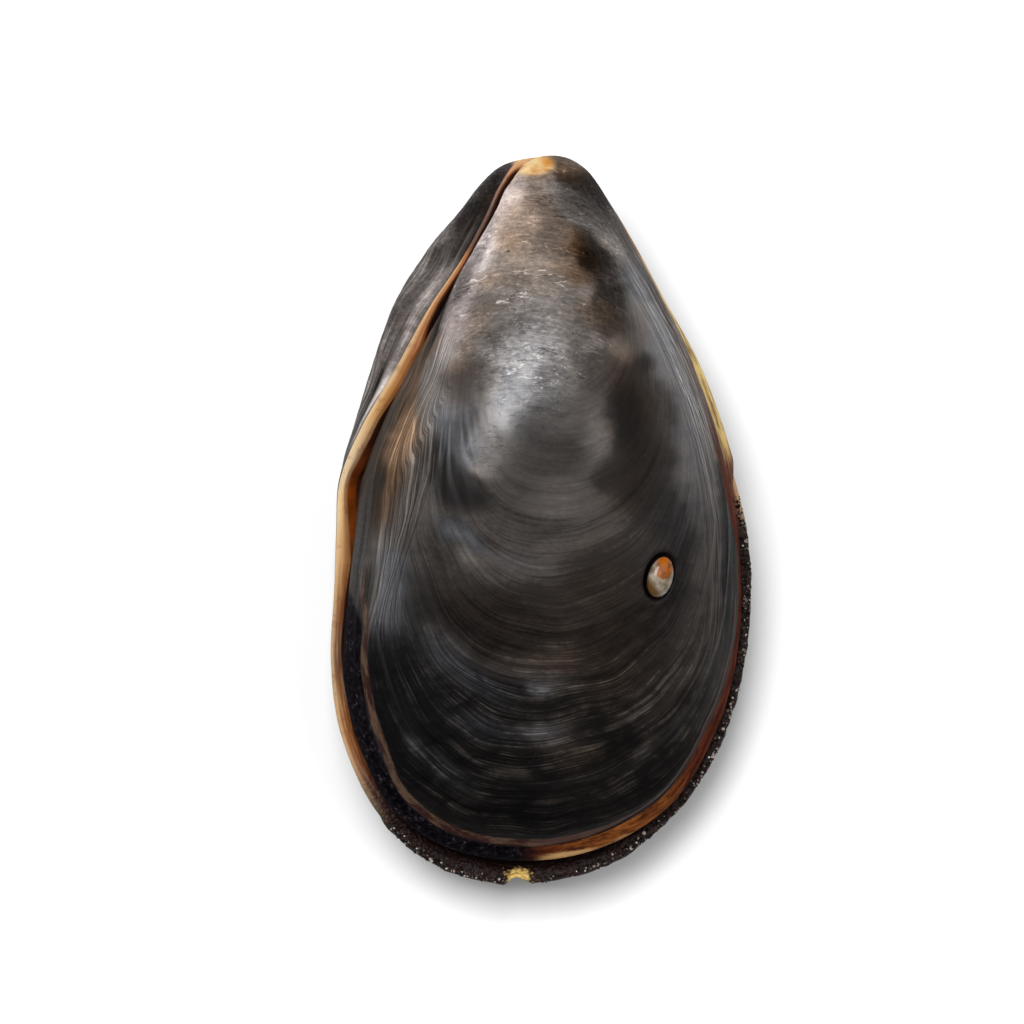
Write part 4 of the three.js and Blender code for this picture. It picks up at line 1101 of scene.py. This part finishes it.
def ligament_piece():
    """Ribbon along the hinge: an oval section (cos, sin), thicker on its outer side, carried
    along the lower margin midway between the two valves, set in towards the beak and thin at both
    ends, with lengthwise fibres as ripples of its surface."""
    steps, sides = 150, 28
    low, high = HINGE_SHARES
    f = np.linspace(0, 1, steps)[:, None]
    turn = (2 * math.pi * np.arange(sides) / sides)[None, :]
    share = low + (high - low) * f
    ex, ey = LOWER.edge(share)
    ix, iy = np.moveaxis(LOWER.inward(share), -1, 0)
    taper = 0.12 + 0.88 * smooth(f, 0.0, 0.16) * (1 - 0.7 * smooth(f, 0.86, 1.0))
    inset = HINGE_INSET[0] + HINGE_INSET[1] * smooth(f, 0.45, 0.85)
    cx, cy = ex + ix * inset, ey + iy * inset
    middle = (LOWER.plane(cx, cy) + UPPER.plane(cx, cy)) / 2
    ripple = 1 + 0.16 * lattice_noise(turn * sides / 4.4, f * 26, 71, 40) + 0.10 * lattice_noise(
        turn * sides / 2.2, f * 60, 72, 80)
    across = HINGE_HALF_WIDTH * taper * np.cos(turn) * (1 + 0.04 * (ripple - 1))
    thick = HINGE_THICKNESS[0] + HINGE_THICKNESS[1] * smooth(np.cos(turn), -0.2, 0.9)
    up = thick * taper * np.sin(turn) * ripple
    points = np.stack([cx - ix * across, cy - iy * across, middle + up], -1)
    ends = np.stack([points[0].mean(axis=0), points[-1].mean(axis=0)])
    faces, rows, cols = ring_faces(steps, sides, steps * sides, steps * sides + 1)
    uvs = np.stack([np.clip(rows, 0, steps - 1) / (steps - 1), cols / sides], -1)
    return put_mesh("hinge_strip", np.vstack([points.reshape(-1, 3), ends]), faces, uvs)


def bead_piece():
    """Ovoid: a sphere grid stretched along the bead's three axes, a little narrower at its far
    end, and set in its pit."""
    rows, sides = 46, 72
    wide, long = bead_axes()
    polar = np.linspace(0, math.pi, rows + 2)[1:-1, None]
    turn = (2 * math.pi * np.arange(sides) / sides)[None, :]
    a, b = np.sin(polar) * np.cos(turn), np.sin(polar) * np.sin(turn)
    c = np.broadcast_to(np.cos(polar), a.shape)
    centre = BEAD_POINT + BEAD_LIFT * BEAD_NORMAL - BEAD_ASIDE * wide
    egg = 1 - 0.06 * b
    local = np.stack([a * BEAD_SIZE[0] * egg, b * BEAD_SIZE[1], c * BEAD_SIZE[2]], -1)
    axes = np.stack([wide, long, BEAD_NORMAL])
    points = centre + local @ axes
    poles = centre + np.array([[0, 0, BEAD_SIZE[2]], [0, 0, -BEAD_SIZE[2]]]) @ axes
    faces = ring_faces(rows, sides, rows * sides, rows * sides + 1)[0]
    cap = np.append((soft_spot(a, b, BEAD_CAP) * (c > -0.2)).ravel(), [0.5, 0])
    # The foot mask marks the bead's lower side, where its shade is painted
    foot = np.append(smooth(-0.85 * b - 0.5 * a, 0.3, 0.95).ravel(), [0, 0])
    return put_mesh("bead", np.vstack([points.reshape(-1, 3), poles]), faces, None,
                    {"cap": cap, "foot": foot})


def crumb_piece():
    """Crumbs along the crusty rim: small stretched and turned icosahedra joined in one mesh, set
    on the rolled edge of the lower valve, at random shares and distances from its margin."""
    rng = np.random.RandomState(7)
    count, g = CRUMBS, (1 + 5 ** 0.5) / 2
    ball = np.array([(-1, g, 0), (1, g, 0), (-1, -g, 0), (1, -g, 0), (0, -1, g), (0, 1, g),
                     (0, -1, -g), (0, 1, -g), (g, 0, -1), (g, 0, 1), (-g, 0, -1), (-g, 0, 1)], float)
    ball /= np.linalg.norm(ball[0])
    ball_faces = np.array([(0, 11, 5), (0, 5, 1), (0, 1, 7), (0, 7, 10), (0, 10, 11), (1, 5, 9),
                           (5, 11, 4), (11, 10, 2), (10, 7, 6), (7, 1, 8), (3, 9, 4), (3, 4, 2),
                           (3, 2, 6), (3, 6, 8), (3, 8, 9), (4, 9, 5), (2, 4, 11), (6, 2, 10),
                           (8, 6, 7), (9, 8, 1)])
    start, stop = (LOWER.share_near(*place) for place in CRUMB_ENDS)
    share = rng.uniform(start, stop, count)
    inset = rng.beta(1.1, 1.5, count) * 0.8 + 0.02
    ex, ey = LOWER.edge(share)
    xy = np.stack([ex, ey], -1) + LOWER.inward(share, 0.003) * inset[:, None]
    lift = CRUMB_LIFT * np.minimum(1, 2.6 * np.sin(math.pi * np.clip(inset / 1.05, 0, 1) ** 0.6)) ** 0.6
    size = rng.uniform(*CRUMB_SIZES, count) * (1 - 0.35 * (rng.uniform(size=count) < 0.5))
    z = LOWER.plane(xy[:, 0], xy[:, 1]) + lift - 0.3 * size
    keep = np.hypot(*(xy - CHIP_PLACE).T) > CHIP_CLEAR
    centre, size = np.column_stack([xy, z])[keep], size[keep]
    n = len(centre)
    stretch = rng.uniform(0.6, 1.35, (n, 1, 3))
    q = np.linalg.qr(rng.normal(size=(n, 3, 3)))[0]
    q *= np.sign(np.linalg.det(q))[:, None, None]
    lumps = np.einsum("nij,nkj->nki", q, ball[None] * stretch * size[:, None, None])
    points = (centre[:, None] + lumps).reshape(-1, 3)
    faces = (ball_faces[None] + 12 * np.arange(n)[:, None, None]).reshape(-1, 3)
    flock = smooth(lattice_noise(share[keep] * 150, 4, 91, 150), -0.1, 0.5)
    right = 0.35 + 0.65 * smooth(centre[:, 0], 6, 16)
    tone = np.repeat(rng.uniform(size=n) * (0.85 + 0.15 * flock * right), 12)
    piece = put_mesh("rim_crumbs", points, faces, None, {"tone": tone})
    piece.data.polygons.foreach_set("use_smooth", np.zeros(len(piece.data.polygons), bool))
    return piece


def rim_stops(valve, places):
    """Stops of the rim's colour ramp, from places in plan along the margin."""
    made = [(valve.share_near(x, y), shade) for x, y, shade in places]
    return [(0.0, made[0][1]), (1.0, made[-1][1])] + made


LOWER_RIM = (
    (0.2, 37.4, (206, 170, 112)), (-3.4, 35.9, (176, 120, 78)), (-4.6, 33.8, (110, 80, 70)),
    (-5.6, 31.8, (96, 74, 68)), (-7.2, 28.8, (100, 66, 52)), (-8.4, 26.8, (164, 92, 36)),
    (-11.1, 23, (170, 106, 46)), (-14, 17.6, (154, 98, 48)), (-17.6, 11.6, (182, 134, 74)),
    (-20.4, 6, (206, 184, 148)), (-21.3, 1.2, (214, 176, 124)), (-21.4, -5.4, (170, 122, 74)),
    (-21.6, -8.5, (142, 94, 52)), (-21.9, -14.7, (110, 76, 50)), (-21.4, -19, (142, 92, 46)),
    (-20.4, -23.4, (140, 86, 40)), (-18.8, -27.6, (104, 60, 40)), (-12.9, -35.1, (48, 26, 20)),
    (1.8, -37.8, (60, 34, 24)), (20.4, -18.9, (52, 28, 22)), (21.6, -2.3, (74, 40, 28)),
    (20.6, 2.6, (116, 62, 34)), (19.3, 7.2, (140, 86, 46)), (7.6, 32, (130, 96, 62)),
    (4.6, 36.1, (110, 80, 60)))
# Colours of the slope inside the rim along the lower margin; the burnt orange in the open ventral gap,
# around y 5 to -2, is brightened as painted light of the glow through the thin shell
INNER_RIM = (
    (0.2, 37.4, (60, 30, 20)), (-8.4, 26.8, (48, 22, 14)), (-17.6, 11.6, (44, 18, 8)),
    (-19.4, 8, (58, 24, 8)), (-20.6, 5.2, (124, 56, 8)), (-21.3, 0.6, (140, 66, 12)),
    (-21.4, -2.4, (120, 58, 18)), (-21.5, -5, (56, 24, 16)), (-21.9, -14.7, (24, 13, 12)),
    (-18.1, -29, (48, 14, 9)), (-5.6, -38, (26, 9, 7)), (20.4, -18.9, (30, 11, 8)),
    (4.6, 36.1, (50, 28, 20)))
UPPER_RIM = (
    (0.2, 37.4, (206, 170, 112)), (-4, 33.8, (120, 84, 60)), (-18.4, 3.4, (70, 44, 30)),
    (-3.9, -35.5, (120, 72, 36)), (20.8, -7.4, (96, 44, 22)), (10, 27.4, (110, 70, 40)))

nacre = nacre_material()
upper_shell = valve_piece("upper_shell", UPPER, upper_masks)
lower_shell = valve_piece("lower_shell", LOWER, lower_masks)
for made in (skin("skin of the upper valve", 0.0, 1.0),
             rim_material("rim of the upper valve", rim_stops(UPPER, UPPER_RIM),
                          rim_stops(UPPER, UPPER_RIM), 3.0), nacre):
    upper_shell.data.materials.append(made)
for made in (skin("skin of the lower valve", 31.0, 1.7),
             rim_material("rim of the lower valve", rim_stops(LOWER, LOWER_RIM),
                          rim_stops(LOWER, INNER_RIM), 5.0), nacre):
    lower_shell.data.materials.append(made)
hinge_strip = ligament_piece()
hinge_strip.data.materials.append(ligament_material())
bead = bead_piece()
bead.data.materials.append(pearl_material())
crumbs = crumb_piece()
crumbs.data.materials.append(grain_material())

for piece, node, slot in ((upper_shell, "upper_valve", "upper_shell"),
                          (lower_shell, "lower_valve", "lower_shell"),
                          (hinge_strip, "hinge_ligament", "ligament"),
                          (bead, "pearl_bead", "pearl")):
    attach(piece, "root")
    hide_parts(node)
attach(crumbs, "root")

# Studio: a white floor, four softboxes, a faint white surrounding and a camera straight above
FLOOR_WHITE, WORLD_STRENGTH = (0.93, 0.93, 0.93, 1), 0.09
CAMERA_PLACE, LENS, SENSOR = (-0.003086, 0.000847, 0.7134), 236.6, 36.0

floor_mesh = bpy.data.meshes.new("floor")
floor_mesh.from_pydata([(-2, -2, 0), (2, -2, 0), (2, 2, 0), (-2, 2, 0)], [], [(0, 1, 2, 3)])
floor = bpy.data.objects.new("floor", floor_mesh)
bpy.context.scene.collection.objects.link(floor)
floor_look, floor_graph = new_material("white floor")
floor_graph.look(Roughness=0.9, Specular_IOR_Level=0.1)
floor_look.node_tree.nodes["Principled BSDF"].inputs["Base Color"].default_value = FLOOR_WHITE
floor.data.materials.append(floor_look)

# Square softboxes turned towards the shell: name, place and size in metres, power in watts
SOFTBOXES = (("key softbox", (-0.22, 0.37, 1.23), 0.6, 17.3),
             ("glint softbox", (0.36, 0.10, 0.98), 0.26, 1.0),
             ("left fill", (-0.75, 0.1, 0.8), 1.0, 1.7),
             ("right fill", (0.75, 0.12, 0.8), 1.0, 3.4))
AIM = np.array([0, 0, 0.01])
for name, place, size, watts in SOFTBOXES:
    lamp = bpy.data.lights.new(name, "AREA")
    lamp.shape, lamp.size, lamp.energy = "SQUARE", size, watts
    holder = bpy.data.objects.new(name, lamp)
    bpy.context.scene.collection.objects.link(holder)
    back = (np.array(place) - AIM) / np.linalg.norm(np.array(place) - AIM)
    side = np.cross([0.0, 1.0, 0.0], back)
    side /= np.linalg.norm(side)
    matrix = np.eye(4)
    matrix[:3] = np.stack([side, np.cross(back, side), back, place], axis=1)
    holder.matrix_world = Matrix(matrix.tolist())

world = bpy.data.worlds.new("studio")
world.use_nodes = True
world.node_tree.nodes["Background"].inputs["Color"].default_value = (1, 1, 1, 1)
world.node_tree.nodes["Background"].inputs["Strength"].default_value = WORLD_STRENGTH
bpy.context.scene.world = world
bpy.context.scene.view_settings.view_transform = "Standard"

camera_data = bpy.data.cameras.new("camera")
camera_data.lens, camera_data.sensor_width = LENS, SENSOR
camera_data.clip_start, camera_data.clip_end = 0.05, 10.0
camera = bpy.data.objects.new("camera", camera_data)
camera.location = CAMERA_PLACE
bpy.context.scene.collection.objects.link(camera)
bpy.context.scene.camera = camera
